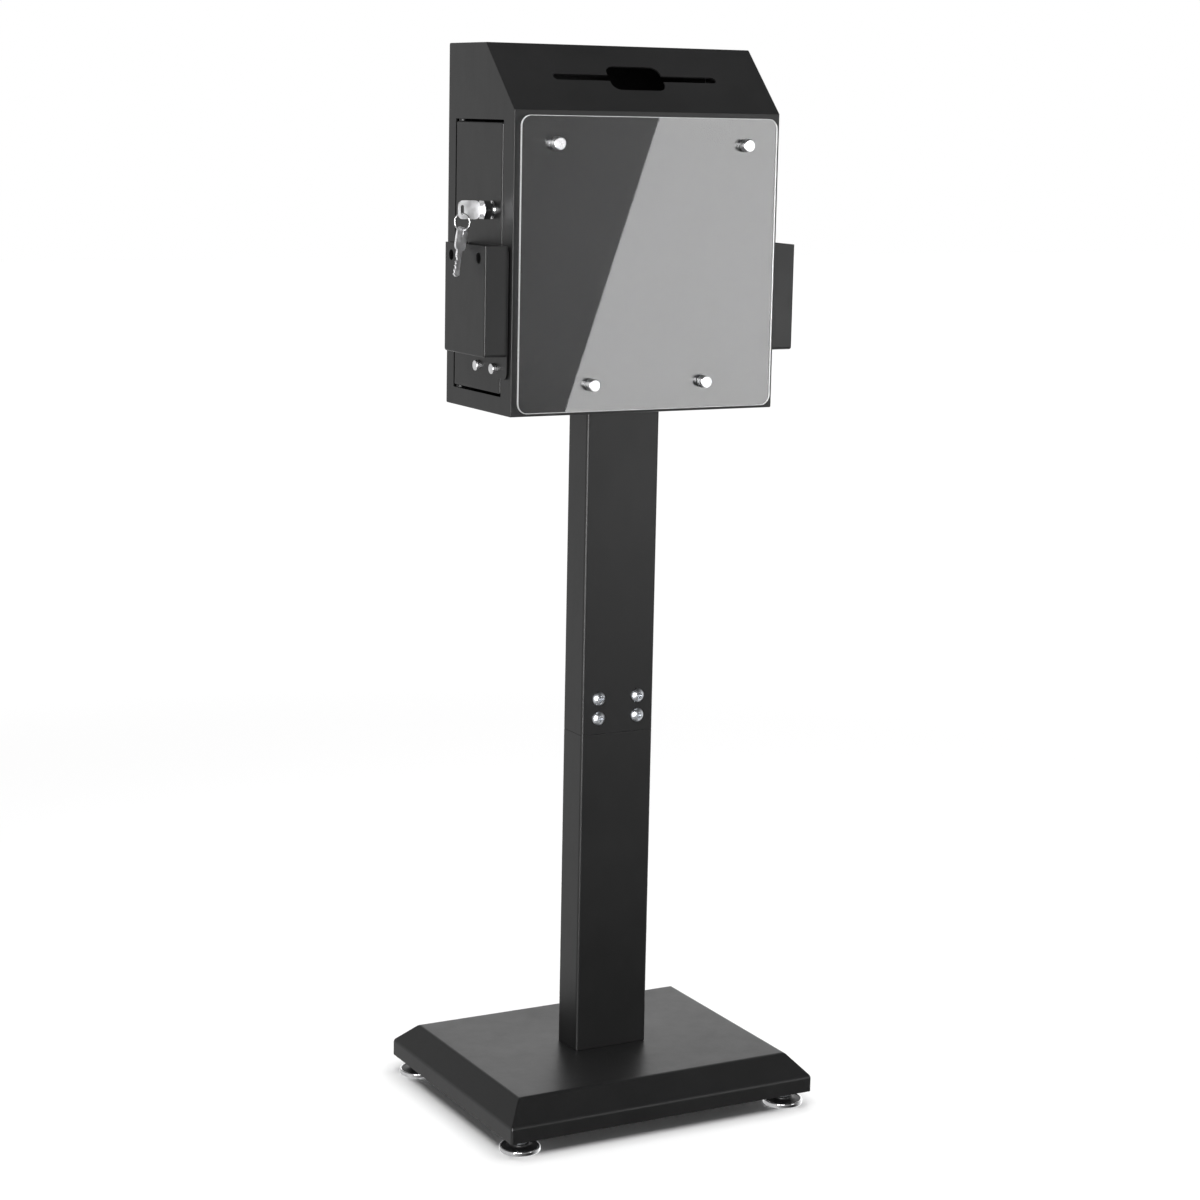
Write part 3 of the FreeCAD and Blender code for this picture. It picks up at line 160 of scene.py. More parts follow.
def arc(centre, radius, start, stop, steps=8):
    """Points on a circle between two angles in degrees: centre + radius x (cos, sin)."""
    angle = np.radians(np.linspace(start, stop, steps + 1))
    return np.asarray(centre) + radius * np.stack([np.cos(angle), np.sin(angle)], 1)


def soften(path, reach, steps=4):
    """An open path whose inner corners are rounded: each becomes a parabola between the points at
    reach before and after it, (1-t)^2 A + 2t(1-t) corner + t^2 B."""
    path = np.asarray(path, float)
    corner = path[1:-1]
    back, ahead = path[:-2] - corner, path[2:] - corner
    reach = np.broadcast_to(reach, len(corner))[:, None]
    start = corner + back / np.linalg.norm(back, axis=1, keepdims=True) * reach
    end = corner + ahead / np.linalg.norm(ahead, axis=1, keepdims=True) * reach
    t = np.linspace(0, 1, steps + 1)[:, None]
    curve = ((1 - t) ** 2 * start[:, None] + 2 * t * (1 - t) * corner[:, None]
             + t ** 2 * end[:, None])
    return np.concatenate([path[:1], curve.reshape(-1, path.shape[1]), path[-1:]])


class Outline:
    """A convex outline with round corners, from counter-clockwise corners. Each corner's arc turns
    from the normal of the edge before it to that of the edge after, round a centre that lies on the
    corner's mitre: corner - radius x mitre + radius x direction."""

    def __init__(self, corners, radius, steps=6):
        corners = np.asarray(corners, float)
        edge = np.roll(corners, -1, 0) - corners
        after = np.stack([edge[:, 1], -edge[:, 0]], 1) / np.linalg.norm(edge, axis=1, keepdims=True)
        before = np.roll(after, 1, 0)
        both = (before * after).sum(1, keepdims=True)
        first = np.arctan2(before[:, 1], before[:, 0])
        turn = np.arccos(np.clip(both[:, 0], -1, 1))
        angle = first[:, None] + turn[:, None] * np.linspace(0, 1, steps + 1)
        self.way = np.stack([np.cos(angle), np.sin(angle)], -1).reshape(-1, 2)
        self.corner = np.repeat(corners, steps + 1, 0)
        self.mitre = np.repeat((before + after) / (1 + both), steps + 1, 0)
        self.radius = radius
        self.steps = steps

    def at(self, inset=0.0):
        """The outline moved in by an inset, or one outline for each of several insets. The arcs'
        centres stay until an inset reaches the radius, and then move in along the mitres."""
        inset = np.asarray(inset, float)[..., None, None]
        return (self.corner - np.maximum(self.radius, inset) * self.mitre
                + np.maximum(self.radius - inset, 0) * self.way)


def rectangle(low, high, radius, steps=6):
    """A rectangle with round corners as an outline."""
    (x0, y0), (x1, y1) = low, high
    return Outline([(x0, y0), (x1, y0), (x1, y1), (x0, y1)], radius, steps)


def circle(centre, radius, steps=48):
    """A whole circle as an outline."""
    ring = Outline([(0, 0), (1, 0), (0, 1)], 0.0)
    angle = np.arange(steps) * math.tau / steps
    ring.way = np.stack([np.cos(angle), np.sin(angle)], 1)
    ring.corner = np.broadcast_to(np.asarray(centre, float), ring.way.shape)
    ring.mitre = np.zeros(ring.way.shape)
    ring.radius = radius
    return ring


class Seat:
    """A plane in space: origin + u x across + v x up + height x (across x up)."""

    def __init__(self, origin, across, up):
        self.origin, self.across, self.up = (np.asarray(v, float) for v in (origin, across, up))
        self.out = np.cross(self.across, self.up)

    def __call__(self, flat, height=0.0):
        flat = np.asarray(flat, float)
        height = np.broadcast_to(np.asarray(height, float), flat.shape[:-1])
        return (self.origin + flat[..., :1] * self.across + flat[..., 1:] * self.up
                + height[..., None] * self.out)


class Skin:
    """The patches of one piece, gathered as whole arrays of points and faces."""

    def __init__(self):
        self.points, self.faces, self.marks, self.count = [], [], [], 0

    def add(self, points, faces, mark=0):
        points = np.asarray(points, float).reshape(-1, 3)
        faces = np.asarray(faces)
        self.points.append(points)
        self.faces.append(faces + self.count)
        self.marks.append(np.full(len(faces), mark))
        self.count += len(points)

    def rings(self, points, around=True, closed=False, mark=0, keep=None):
        """Quads between rows of points; around joins each row's ends, closed joins the last row to
        the first, keep leaves out columns."""
        rows, columns = points.shape[:2]
        row = np.arange(rows if closed else rows - 1)[:, None]
        column = np.arange(columns if around else columns - 1)
        if keep is not None:
            column = column[keep(column)]
        after, beside = (row + 1) % rows, (column + 1) % columns
        quads = np.stack([row * columns + column, row * columns + beside,
                          after * columns + beside, after * columns + column], -1)
        self.add(points, quads.reshape(-1, 4), mark)

    def face(self, ring, *holes, mark=0):
        """A flat face inside a closed ring, cut out by any holes."""
        if not holes:
            self.add(ring, np.arange(len(ring))[None], mark)
            return
        loops = [np.asarray(loop) for loop in (ring, *holes)]
        triangles = tessellate_polygon([[Vector(p) for p in loop] for loop in loops])
        self.add(np.concatenate(loops), np.array([tuple(t) for t in triangles]), mark)

    def carried(self, outline, path, seat, ends=True, closed=False, mark=0):
        """A path of (inset, height) pairs carried round an outline, with a face at each end."""
        path = np.asarray(path, float)
        points = seat(outline.at(path[:, 0]), path[:, 1][:, None])
        self.rings(points, closed=closed, mark=mark)
        if ends and not closed:
            self.face(points[0], mark=mark)
            self.face(points[-1], mark=mark)
        return points

    def piece(self, name, materials, body, replaces=(), mirror_x=False):
        """The finished object: one mesh, its seams merged and its faces turned outwards."""
        points = np.concatenate(self.points)
        if mirror_x:
            points = points * (-1, 1, 1)
        faces = [tuple(face) for pile in self.faces for face in pile.tolist()]
        mesh = bpy.data.meshes.new(name)
        mesh.from_pydata(points.tolist(), [], faces)
        mesh.polygons.foreach_set("material_index", np.concatenate(self.marks).astype(np.int32))
        work = bmesh.new()
        work.from_mesh(mesh)
        bmesh.ops.remove_doubles(work, verts=work.verts, dist=MERGE)
        bmesh.ops.dissolve_degenerate(work, edges=work.edges, dist=MERGE)
        bmesh.ops.recalc_face_normals(work, faces=work.faces)
        work.to_mesh(mesh)
        work.free()
        mesh.polygons.foreach_set("use_smooth", np.ones(len(mesh.polygons), bool))
        mesh.set_sharp_from_angle(angle=CREASE)
        thing = bpy.data.objects.new(name, mesh)
        bpy.context.scene.collection.objects.link(thing)
        for material in materials:
            mesh.materials.append(material)
        even_shading(thing)
        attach(thing, body)
        if replaces:
            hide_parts(*replaces)
        return thing


def even_shading(thing):
    """Flat faces stay flat between their rounded edges."""
    shading = thing.modifiers.new("Even shading", "WEIGHTED_NORMAL")
    shading.keep_sharp = True
    shading.weight = 60


BEYOND = 1.6                # a bend's section runs this many reaches into the flat


def fold(bend, deep, sheet):
    """The section of a folded edge as (inset, height): face, outer bend, flange, rim, inner
    bend."""
    outer = soften([(bend * BEYOND, 0), (0, 0), (0, deep)], bend)
    inner = soften([(sheet, deep), (sheet, sheet), (bend * BEYOND, sheet)], bend - sheet * 0.7)
    return np.concatenate([outer, inner])


def slab(thick, ease):
    """The section of a plate with eased edges as (inset, height)."""
    return [(ease, 0), (ease * 0.3, ease * 0.3), (0, ease), (0, thick - ease),
            (ease * 0.3, thick - ease * 0.3), (ease, thick)]


# ---------------------------------------------------------------- shader maths

class Signal:
    """A shader socket that takes arithmetic: each operator adds its Math node."""

    def __init__(self, recipe, socket):
        self.recipe, self.socket = recipe, socket

    def maths(self, operation, *values):
        return self.recipe.node("ShaderNodeMath", {"operation": operation}, values)

    def __add__(self, other):
        return self.maths("ADD", self, other)

    def __sub__(self, other):
        return self.maths("SUBTRACT", self, other)

    def __rsub__(self, other):
        return self.maths("SUBTRACT", other, self)

    def __mul__(self, other):
        return self.maths("MULTIPLY", self, other)

    __radd__ = __add__
    __rmul__ = __mul__

    def held(self, low, high):
        """The signal spread from low..high to 0..1 and held there."""
        return self.recipe.node("ShaderNodeMapRange", {"clamp": True},
                                {"Value": self, 1: low, 2: high})


class Recipe:
    """One node tree, a material's or the world's."""

    def __init__(self, owner):
        owner.use_nodes = True
        self.tree = owner.node_tree
        self.tree.nodes.clear()

    def node(self, kind, settings=None, values=(), output=0):
        """Add a node, set its settings, then its sockets by place or name, and return an output."""
        made = self.tree.nodes.new(kind)
        for name, value in (settings or {}).items():
            setattr(made, name, value)
        pairs = values.items() if isinstance(values, dict) else enumerate(values)
        for place, value in pairs:
            if isinstance(value, Signal):
                self.tree.links.new(value.socket, made.inputs[place])
            else:
                made.inputs[place].default_value = value
        return Signal(self, made.outputs[output]) if len(made.outputs) else None

    def place(self, scale=(1, 1, 1)):
        """The piece's own coordinates, stretched."""
        own = self.node("ShaderNodeTexCoord", output="Object")
        return self.node("ShaderNodeMapping", {"vector_type": "POINT"},
                         {"Vector": own, "Scale": scale})

    def noise(self, scale, detail=2.0, rough=0.5, stretch=(1, 1, 1)):
        return self.node("ShaderNodeTexNoise", {"noise_dimensions": "3D"},
                         {"Vector": self.place(stretch), "Scale": scale, "Detail": detail,
                          "Roughness": rough})

    def cells(self, scale):
        return self.node("ShaderNodeTexVoronoi", {"feature": "F1"},
                         {"Vector": self.place(), "Scale": scale}, "Distance")

    def blend(self, amount, first, second):
        """A colour between two colours."""
        return self.node("ShaderNodeMix", {"data_type": "RGBA"},
                         {0: amount, 6: first, 7: second}, 2)

    def bump(self, height, deep, strength):
        return self.node("ShaderNodeBump", values={"Height": height, "Distance": deep,
                                                   "Strength": strength})

    def surface(self, values):
        shader = self.node("ShaderNodeBsdfPrincipled", values=values)
        self.node("ShaderNodeOutputMaterial", values={"Surface": shader})


COAT_ROUGHNESS = 0.34       # of the smoothest coat; patches and peel add to it


def shade(colour, by):
    """A colour made lighter or darker, with its alpha."""
    return tuple(min(1.0, channel * by) for channel in colour) + (1.0,)


def powder_coat(name, colour):
    """Satin powder coat: fine orange peel, faint flecks, and patches that handling has
    polished."""
    material = bpy.data.materials.new(name)
    mix = Recipe(material)
    peel = mix.noise(520, 2.5, 0.55)
    fleck = mix.noise(2600, 1.0)
    patch = mix.noise(9, 4.0, 0.6)
    rub = mix.noise(60, 3.0, 0.7, (1, 1, 0.35))
    dusty = fleck.held(0.45, 0.75) * 0.5 + patch.held(0.3, 0.8) * 0.5
    mix.surface({
        "Base Color": mix.blend(dusty, shade(colour, 0.82), shade(colour, 1.3)),
        "Roughness": COAT_ROUGHNESS + patch.held(0.25, 0.75) * 0.07 + rub.held(0.4, 0.7) * 0.03
        + peel * 0.04,
        "Specular IOR Level": 0.5,
        "Normal": mix.bump(peel * 0.8 + fleck * 0.2, 0.03 * MM, 0.9),
    })
    return material


def plated(name, colour, rough, mottle, scratch=0.5):
    """Plated metal: a bright skin with faint cloudy mottling and hairline scratches."""
    material = bpy.data.materials.new(name)
    mix = Recipe(material)
    cloud = mix.noise(140, 3.0)
    grain = mix.cells(420)
    line = mix.noise(900, 2.0, 0.6, (1, 0.12, 0.12))
    tone = cloud.held(0.3, 0.7) * (1 - mottle) + grain.held(0.0, 0.8) * mottle
    mix.surface({
        "Base Color": mix.blend(tone, shade(colour, 0.86), shade(colour, 1.1)),
        "Metallic": 1.0,
        "Roughness": rough + cloud.held(0.3, 0.7) * rough * 0.5
        + line.held(0.55, 0.7) * 0.05,
        "Normal": mix.bump(line * scratch + grain * mottle, 0.02 * MM, 0.6),
    })
    return material


def primer(name, colour):
    """Matt primer over steel, with a dry sprayed grain."""
    material = bpy.data.materials.new(name)
    mix = Recipe(material)
    grain = mix.noise(1500, 2.0)
    patch = mix.noise(30, 3.0)
    mix.surface({
        "Base Color": mix.blend(patch.held(0.3, 0.7), shade(colour, 0.85), shade(colour, 1.15)),
        "Roughness": 0.55 + patch * 0.15,
        "Normal": mix.bump(grain, 0.05 * MM, 0.7),
    })
    return material


def moulded_plastic(name, colour):
    """Black moulded plastic with a fine spark-eroded grain."""
    material = bpy.data.materials.new(name)
    mix = Recipe(material)
    grain = mix.cells(1900)
    patch = mix.noise(50, 2.0)
    mix.surface({
        "Base Color": mix.blend(patch, shade(colour, 0.8), shade(colour, 1.3)),
        "Roughness": 0.38 + patch * 0.14,
        "Normal": mix.bump(grain, 0.03 * MM, 0.6),
    })
    return material


def acrylic(name, colour):
    """Clear cast sheet with the faintest haze and hairlines from wiping."""
    material = bpy.data.materials.new(name)
    mix = Recipe(material)
    haze = mix.noise(11, 3.0)
    mix.surface({
        "Base Color": mix.blend(haze, shade(colour, 0.99), shade(colour, 1.0)),
        "Roughness": haze.held(0.4, 0.8) * 0.004,
        "Transmission Weight": 1.0,
        "IOR": 1.49,
    })
    return material


def painted_glow_rim(name, colour):
    """The sheet's flame-polished rim with its saw-mark grain. Its pale base colour is painted glow:
    it stands in for the light that the clear edge gathers.
    """
    material = bpy.data.materials.new(name)
    mix = Recipe(material)
    saw = mix.noise(1200, 2.0, 0.6, (1, 0.1, 1))
    mix.surface({
        # painted glow: a pale opaque colour in place of the light that the clear rim gathers; the
        # saw streaks are real grain
        "Base Color": mix.blend(saw, shade(colour, 0.62), shade(colour, 0.85)),
        "Roughness": 0.16 + saw.held(0.4, 0.7) * 0.14,
        "Coat Weight": 0.4,
        "Normal": mix.bump(saw, 0.02 * MM, 0.5),
    })
    return material


def finishes():
    """The materials, made once and found again by name."""
    colours = bpy.context.scene.box_colours
    bright = shade(colours.chrome, 1.2)[:3]
    makers = {
        "black_powder_coat": lambda n: powder_coat(n, colours.coat),
        "chrome": lambda n: plated(n, colours.chrome, 0.09, 0.08),
        "satin_chrome": lambda n: plated(n, bright, 0.24, 0.08),
        "satin_nickel": lambda n: plated(n, bright, 0.43, 0.08),
        "zinc_plated_steel": lambda n: plated(n, colours.zinc, 0.24, 0.45, 0.3),
        "primed_steel": lambda n: primer(n, colours.primer),
        "black_plastic": lambda n: moulded_plastic(n, colours.plastic),
        "clear_acrylic": lambda n: acrylic(n, colours.acrylic),
        "acrylic_rim_painted_glow": lambda n: painted_glow_rim(n, colours.acrylic),
    }
    names = {slot: f"{slot}_finish" for slot in makers}
    return {slot: bpy.data.materials.get(name) or makers[slot](name)
            for slot, name in names.items()}


# ---------------------------------------------------------------- pieces

class Maker(bpy.types.Operator):
    """What the piece operators share."""
    bl_options = {"REGISTER", "UNDO"}

    def execute(self, context):
        self.make(context.scene.box_sizes, finishes())
        return {"FINISHED"}


class BOX_OT_shell(Maker):
    """Fold the box with its slope, its slot and the door opening"""
    bl_idname = "collection_box.shell"
    bl_label = "Box shell"

    def make(self, sizes, finish):
        bend, sheet = sizes.bend, sizes.sheet
        half = FRONT_HIGH[0]
        front, low, brow = FRONT_LOW[1], FRONT_LOW[2], FRONT_HIGH[2]
        back, roof, crest = ROOF_HIGH[1], ROOF_HIGH[2], ROOF_LOW[1]
        side = Seat((0, 0, 0), Y, Z)
        profile = Outline([(front, low), (back, low), (back, roof), (crest, roof), (front, brow)],
                          bend)
        # the column of quads from the crest's last arc point to the brow's first
        slope_column = 4 * (profile.steps + 1) - 1
        slope_run = (np.array([0, crest - front, roof - brow])
                     / math.hypot(crest - front, roof - brow))
        slope = Seat((0, (crest + front) / 2, (roof + brow) / 2), X, slope_run)
        slot = self.slot_outline(sizes)
        gap, hinge = sizes.door_gap, sizes.hinge_gap
        opening = rectangle((DOOR_LOW[1] - gap, DOOR_LOW[2] - gap),
                            (DOOR_HIGH[1] + hinge, DOOR_HIGH[2] + gap),
                            sizes.opening_round, 3).at()
        skin = Skin()
        for inset in (0.0, sheet):
            reach = max(sizes.seam - inset, 0.5 * MM)
            turn = soften([(reach * BEYOND, 0), (0, 0), (0, reach * BEYOND)], reach)
            left = np.stack([turn[:, 0] + inset, turn[:, 1] + inset - half], 1)
            right = left[::-1] * (1, -1)
            for path in (left, right):
                skin.rings(side(profile.at(path[:, 0]), path[:, 1][:, None]))
            span = side(profile.at([inset, inset]),
                        np.array([left[-1, 1], right[0, 1]])[:, None])
            skin.rings(span, keep=lambda column: column != slope_column)
            ends = span[:, [slope_column, (slope_column + 1) % span.shape[1]]]
            skin.face(ends.reshape(4, 3)[[0, 1, 3, 2]], slope(slot, -inset))
            skin.face(side(profile.at(left[0, 0]), left[0, 1]), side(opening, left[0, 1]))
            skin.face(side(profile.at(right[-1, 0]), right[-1, 1]))
        skin.rings(slope(np.stack([slot, slot]), np.array([[0.0], [-sheet]])))
        skin.rings(side(np.stack([opening, opening]), np.array([[-half], [sheet - half]])))
        self.catch_flange(skin, opening, -half, sheet)
        skin.piece("box_shell", [finish["black_powder_coat"]], "stand",
                   BOX_PANELS)

    @staticmethod
    def slot_outline(sizes):
        """A long slot with half-round ends, crossed by a wider opening with round corners."""
        end, rise = sizes.slot_long / 2, sizes.slot_high / 2
        wide, high, corner = sizes.aperture_long / 2, sizes.aperture_high / 2, sizes.aperture_round
        right = np.concatenate([
            [(wide, -rise)], arc((end - rise, 0), rise, -90, 90), [(wide, rise)],
            arc((wide - corner, high - corner), corner, 0, 90),
        ])
        upper_left = arc((corner - wide, high - corner), corner, 90, 180)
        left = np.concatenate([upper_left, [(-wide, rise)], arc((rise - end, 0), rise, 90, 270),
                               [(-wide, -rise)]])
        lower = np.concatenate([arc((corner - wide, corner - high), corner, 180, 270),
                                arc((wide - corner, corner - high), corner, 270, 360)])
        return np.concatenate([right, left, lower])

    @staticmethod
    def catch_flange(skin, opening, face, sheet):
        """The returned edge behind the door's free edge, which the lock's cam catches."""
        y, (low, high) = opening[:, 0].min(), (opening[:, 1].min(), opening[:, 1].max())
        plan = rectangle((face + 1.5 * SLIGHT, y - sheet), (DOOR_HIGH[0], y), 2 * SLIGHT, 3)
        skin.carried(plan, [(SLIGHT, low), (0, low + SLIGHT), (0, high - SLIGHT),
                            (SLIGHT, high)],
                     Seat((0, 0, 0), X, Y))


class BOX_OT_door(Maker):
    """Fold the door's panel with its four returned edges"""
    bl_idname = "collection_box.door"
    bl_label = "Door"

    def make(self, sizes, finish):
        skin = Skin()
        plan = rectangle(DOOR_LOW[1:], DOOR_HIGH[1:], sizes.bend)
        deep = DOOR_HIGH[0] - DOOR_LOW[0]
        skin.carried(plan, fold(sizes.bend, deep, sizes.sheet), Seat((DOOR_LOW[0], 0, 0), Y, Z))
        skin.piece("door_skin", [finish["black_powder_coat"]], "door",
                   ["door_panel"])


class BOX_OT_pockets(Maker):
    """Fold the two leaflet pockets and their back plates"""
    bl_idname = "collection_box.pockets"
    bl_label = "Leaflet pockets"

    def make(self, sizes, finish):
        for hand, body in (("left", "door"), ("right", "stand")):
            self.pocket(hand, body, sizes, finish["black_powder_coat"])

    def pocket(self, hand, body, sizes, coat):
        low, high = corners_of("pocket_left")
        floor = high[2] - sizes.pocket_tall
        sheet, bend = sizes.pocket_sheet, sizes.bend
        seat = Seat((low[0], 0, 0), Y, Z)
        deep = high[0] - low[0] - sheet
        # an open outline down the back wall, along the floor and up the front wall
        plan = rectangle((low[1], floor), (high[1], high[2]), bend * BEYOND)
        foot = slice(0, 2 * (plan.steps + 1))
        ends = np.array([(low[1], high[2]), (high[1], high[2])])
        sides = np.array([(-1, 0), (1, 0)])
        plan.corner, plan.mitre, plan.way = (
            np.concatenate([end[:1], arcs[foot], end[1:]])
            for end, arcs in ((ends, plan.corner), (sides, plan.mitre), (sides, plan.way)))
        path = fold(bend, deep, sheet)
        points = seat(plan.at(path[:, 0]), path[:, 1][:, None])
        skin = Skin()
        skin.rings(points, around=False)
        skin.face(points[:, 0])
        skin.face(points[:, -1])
        skin.face(np.stack([points[0, 0], points[0, -1], points[-1, -1], points[-1, 0]]))
        middle, tall = (low[1] + high[1]) / 2, high[2] - sizes.pocket_hole_down
        holes = [circle((middle + way * sizes.pocket_hole_out, tall), sizes.pocket_hole / 2,
                        32).at() for way in (-1, 1)]
        for ring in (points[0], points[-1]):
            depth = (ring[0] - seat.origin) @ seat.out
            skin.face(ring, *(seat(hole, depth) for hole in holes))
        for hole in holes:
            skin.rings(seat(np.stack([hole, hole]), np.array([[0.0], [sheet]])))
        plate = rectangle((low[1], low[2]), (high[1], high[2]), sizes.pocket_round, 8)
        skin.carried(plate, slab(sheet, SLIGHT), Seat((high[0] - sheet, 0, 0), Y, Z))
        skin.piece(f"pocket_{hand}_skin", [coat], body,
                   [f"pocket_{hand}"], mirror_x=hand == "right")


class BOX_OT_pole(Maker):
    """Draw the two lengths of the pole with their rounded corners and eased seam"""
    bl_idname = "collection_box.pole"
    bl_label = "Pole"

    def make(self, sizes, finish):
        for node in ("pole_lower", "pole_upper"):
            low, high = corners_of(node)
            ease, wall = sizes.pole_ease, sizes.pole_wall
            skin = Skin()
            skin.carried(rectangle(low[:2], high[:2], sizes.pole_round),
                         [(0, low[2] + ease), (0, high[2] - ease),
                          (ease * 0.3, high[2] - ease * 0.3), (ease, high[2]), (wall, high[2]),
                          (wall, low[2]), (ease, low[2]), (ease * 0.3, low[2] + ease * 0.3)],
                         Seat((0, 0, 0), X, Y), closed=True)
            skin.piece(f"{node}_tube", [finish["black_powder_coat"]], "stand",
                       [node])


class BOX_OT_base(Maker):
    """Press the base cover: upright rim, bevelled shoulder and flat crown"""
    bl_idname = "collection_box.base"
    bl_label = "Base cover"

    def make(self, sizes, finish):
        half = (BASE_HIGH - BASE_LOW)[:2] / 2
        middle = (BASE_HIGH + BASE_LOW)[:2] / 2
        inset = half - np.array([sizes.base_crown_wide, sizes.base_crown_deep]) / 2
        sheet, top, low = sizes.sheet, BASE_HIGH[2], BASE_LOW[2]
        # the section across the width as (inset, height); its insets shrink along the depth
        wide, rim = inset[0], sizes.base_rim
        flat_from = wide + 9 * MM
        outer = soften([(0, low), (0, rim), (wide, top), (flat_from, top)], sizes.base_bend, 5)
        inner = soften([(sheet, low), (sheet, rim - 0.6 * MM), (wide + 0.8 * MM, top - sheet),
                        (flat_from, top - sheet)], 1.2 * MM, 3)[::-1]
        section = np.concatenate([outer, inner])
        unit = rectangle((-1, -1), (1, 1), 0.5)
        sign = np.sign(unit.corner)
        reach = half - section[:, :1] * inset / wide
        radius = np.maximum(sizes.base_corner - np.minimum(section[:, 0], sheet),
                            0.8 * MM)[:, None, None]
        flat = middle + sign * (reach[:, None] - radius) + radius * unit.way
        points = Seat((0, 0, 0), X, Y)(flat, section[:, 1][:, None])
        skin = Skin()
        skin.rings(points)
        skin.rings(points[[-1, 0]])
        skin.face(points[len(outer) - 1])
        skin.face(points[len(outer)])
        self.drop_seam_row(skin, len(outer), points.shape[1])
        skin.piece("base_pressing", [finish["black_powder_coat"]], "stand",
                   ["base_cover"])

    @staticmethod
    def drop_seam_row(skin, row, columns):
        """Outer and inner crown are closed by their own faces, so the row between them goes."""
        quads = skin.faces[0]
        start = (row - 1) * columns
        skin.faces[0] = np.delete(quads, np.arange(start, start + columns), 0)
        skin.marks[0] = skin.marks[0][:len(skin.faces[0])]


class BOX_OT_feet(Maker):
    """Turn the four foot dishes: a polished rim round a black plastic middle, whose black is a
    painted reflection of the base's dark underside
    """
    bl_idname = "collection_box.feet"
    bl_label = "Foot dishes"

    def make(self, sizes, finish):
        # sections as (inset, height) in millimetres
        rim = np.array([(1.4, 0), (0.4, 0.3), (0, 1.0), (0, 3.5), (0.15, 4.2), (0.6, 4.7),
                        (1.2, 4.8), (1.8, 4.5)]) * MM
        # the middle gets black plastic in place of chrome: a painted reflection of the base's dark
        # underside
        middle = np.array([(1.8, 4.5), (2.4, 4.1), (6.5, 4.6), (9.6, 5.4), (10.4, 6.4),
                           (10.7, 7.5), (11.3, 8.0), (16.4, 8.0)]) * MM
        for name in FEET:
            node = f"foot_pad_{name}"
            low, high = corners_of(node)
            centre = (low + high)[:2] / 2
            plan = circle(centre, (high - low)[0] / 2, 64)
            seat = Seat((0, 0, low[2]), X, Y)
            skin = Skin()
            outer = skin.carried(plan, soften(rim, SLIGHT, 2), seat, ends=False)
            inner = skin.carried(plan, soften(middle, 1.25 * SLIGHT, 2), seat, ends=False,
                                 mark=1)
            skin.face(outer[0])
            skin.face(inner[-1], mark=1)
            # mark 1, the middle, is painted black as the reflection of the base's underside
            skin.piece(f"foot_dish_{name}", [finish["chrome"], finish["black_plastic"]], node,
                       [node])


class BOX_OT_sign(Maker):
    """Cut the clear sign panel with round corners and polished, eased edges"""
    bl_idname = "collection_box.sign"
    bl_label = "Sign panel"

    def make(self, sizes, finish):
        thick = SIGN_HIGH[1] - SIGN_LOW[1]
        plan = rectangle((-SIGN_HIGH[0], SIGN_LOW[2]), (-SIGN_LOW[0], SIGN_HIGH[2]),
                         sizes.sign_round, 12)
        seat = Seat((0, SIGN_HIGH[1], 0), X, Z)          # its normal points out of the front
        skin = Skin()
        points = skin.carried(plan, slab(thick, sizes.sign_ease), seat, ends=False, mark=1)
        skin.face(points[0])
        skin.face(points[-1])
        # the rim faces (mark 1) take the second finish, whose pale colour is painted glow of the
        # edge
        sign = skin.piece("sign_sheet", [finish["clear_acrylic"], finish["acrylic_rim_painted_glow"]], "stand",
                          ["sign_panel"])
        sign.visible_shadow = False


class BOX_OT_fittings(Maker):
    """Give the carried-over fittings eased edges and their finishes"""
    bl_idname = "collection_box.fittings"
    bl_label = "Fittings"

    def make(self, sizes, finish):
        slots = {part["node"]: part["material_slot"] for part in frame["record"]["subparts"]}
        for name, thing in frame["nodes"].items():
            if thing.get("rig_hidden") or name in REPLACED:
                continue
            for socket in thing.material_slots:
                socket.material = finish[SPECIAL.get(name, slots[name])]
            ease = EASES.get(name, EASE)
            weld = thing.modifiers.new("Join", "WELD")
            weld.merge_threshold = 0.001 * MM
            flat = thing.modifiers.new("Flat faces", "DECIMATE")
            flat.decimate_type = "DISSOLVE"
            flat.angle_limit = math.radians(0.6)
            if ease:
                edge = thing.modifiers.new("Eased edges", "BEVEL")
                edge.width = ease
                edge.segments = 2
                edge.limit_method = "ANGLE"
                edge.angle_limit = math.radians(32)
            even_shading(thing)


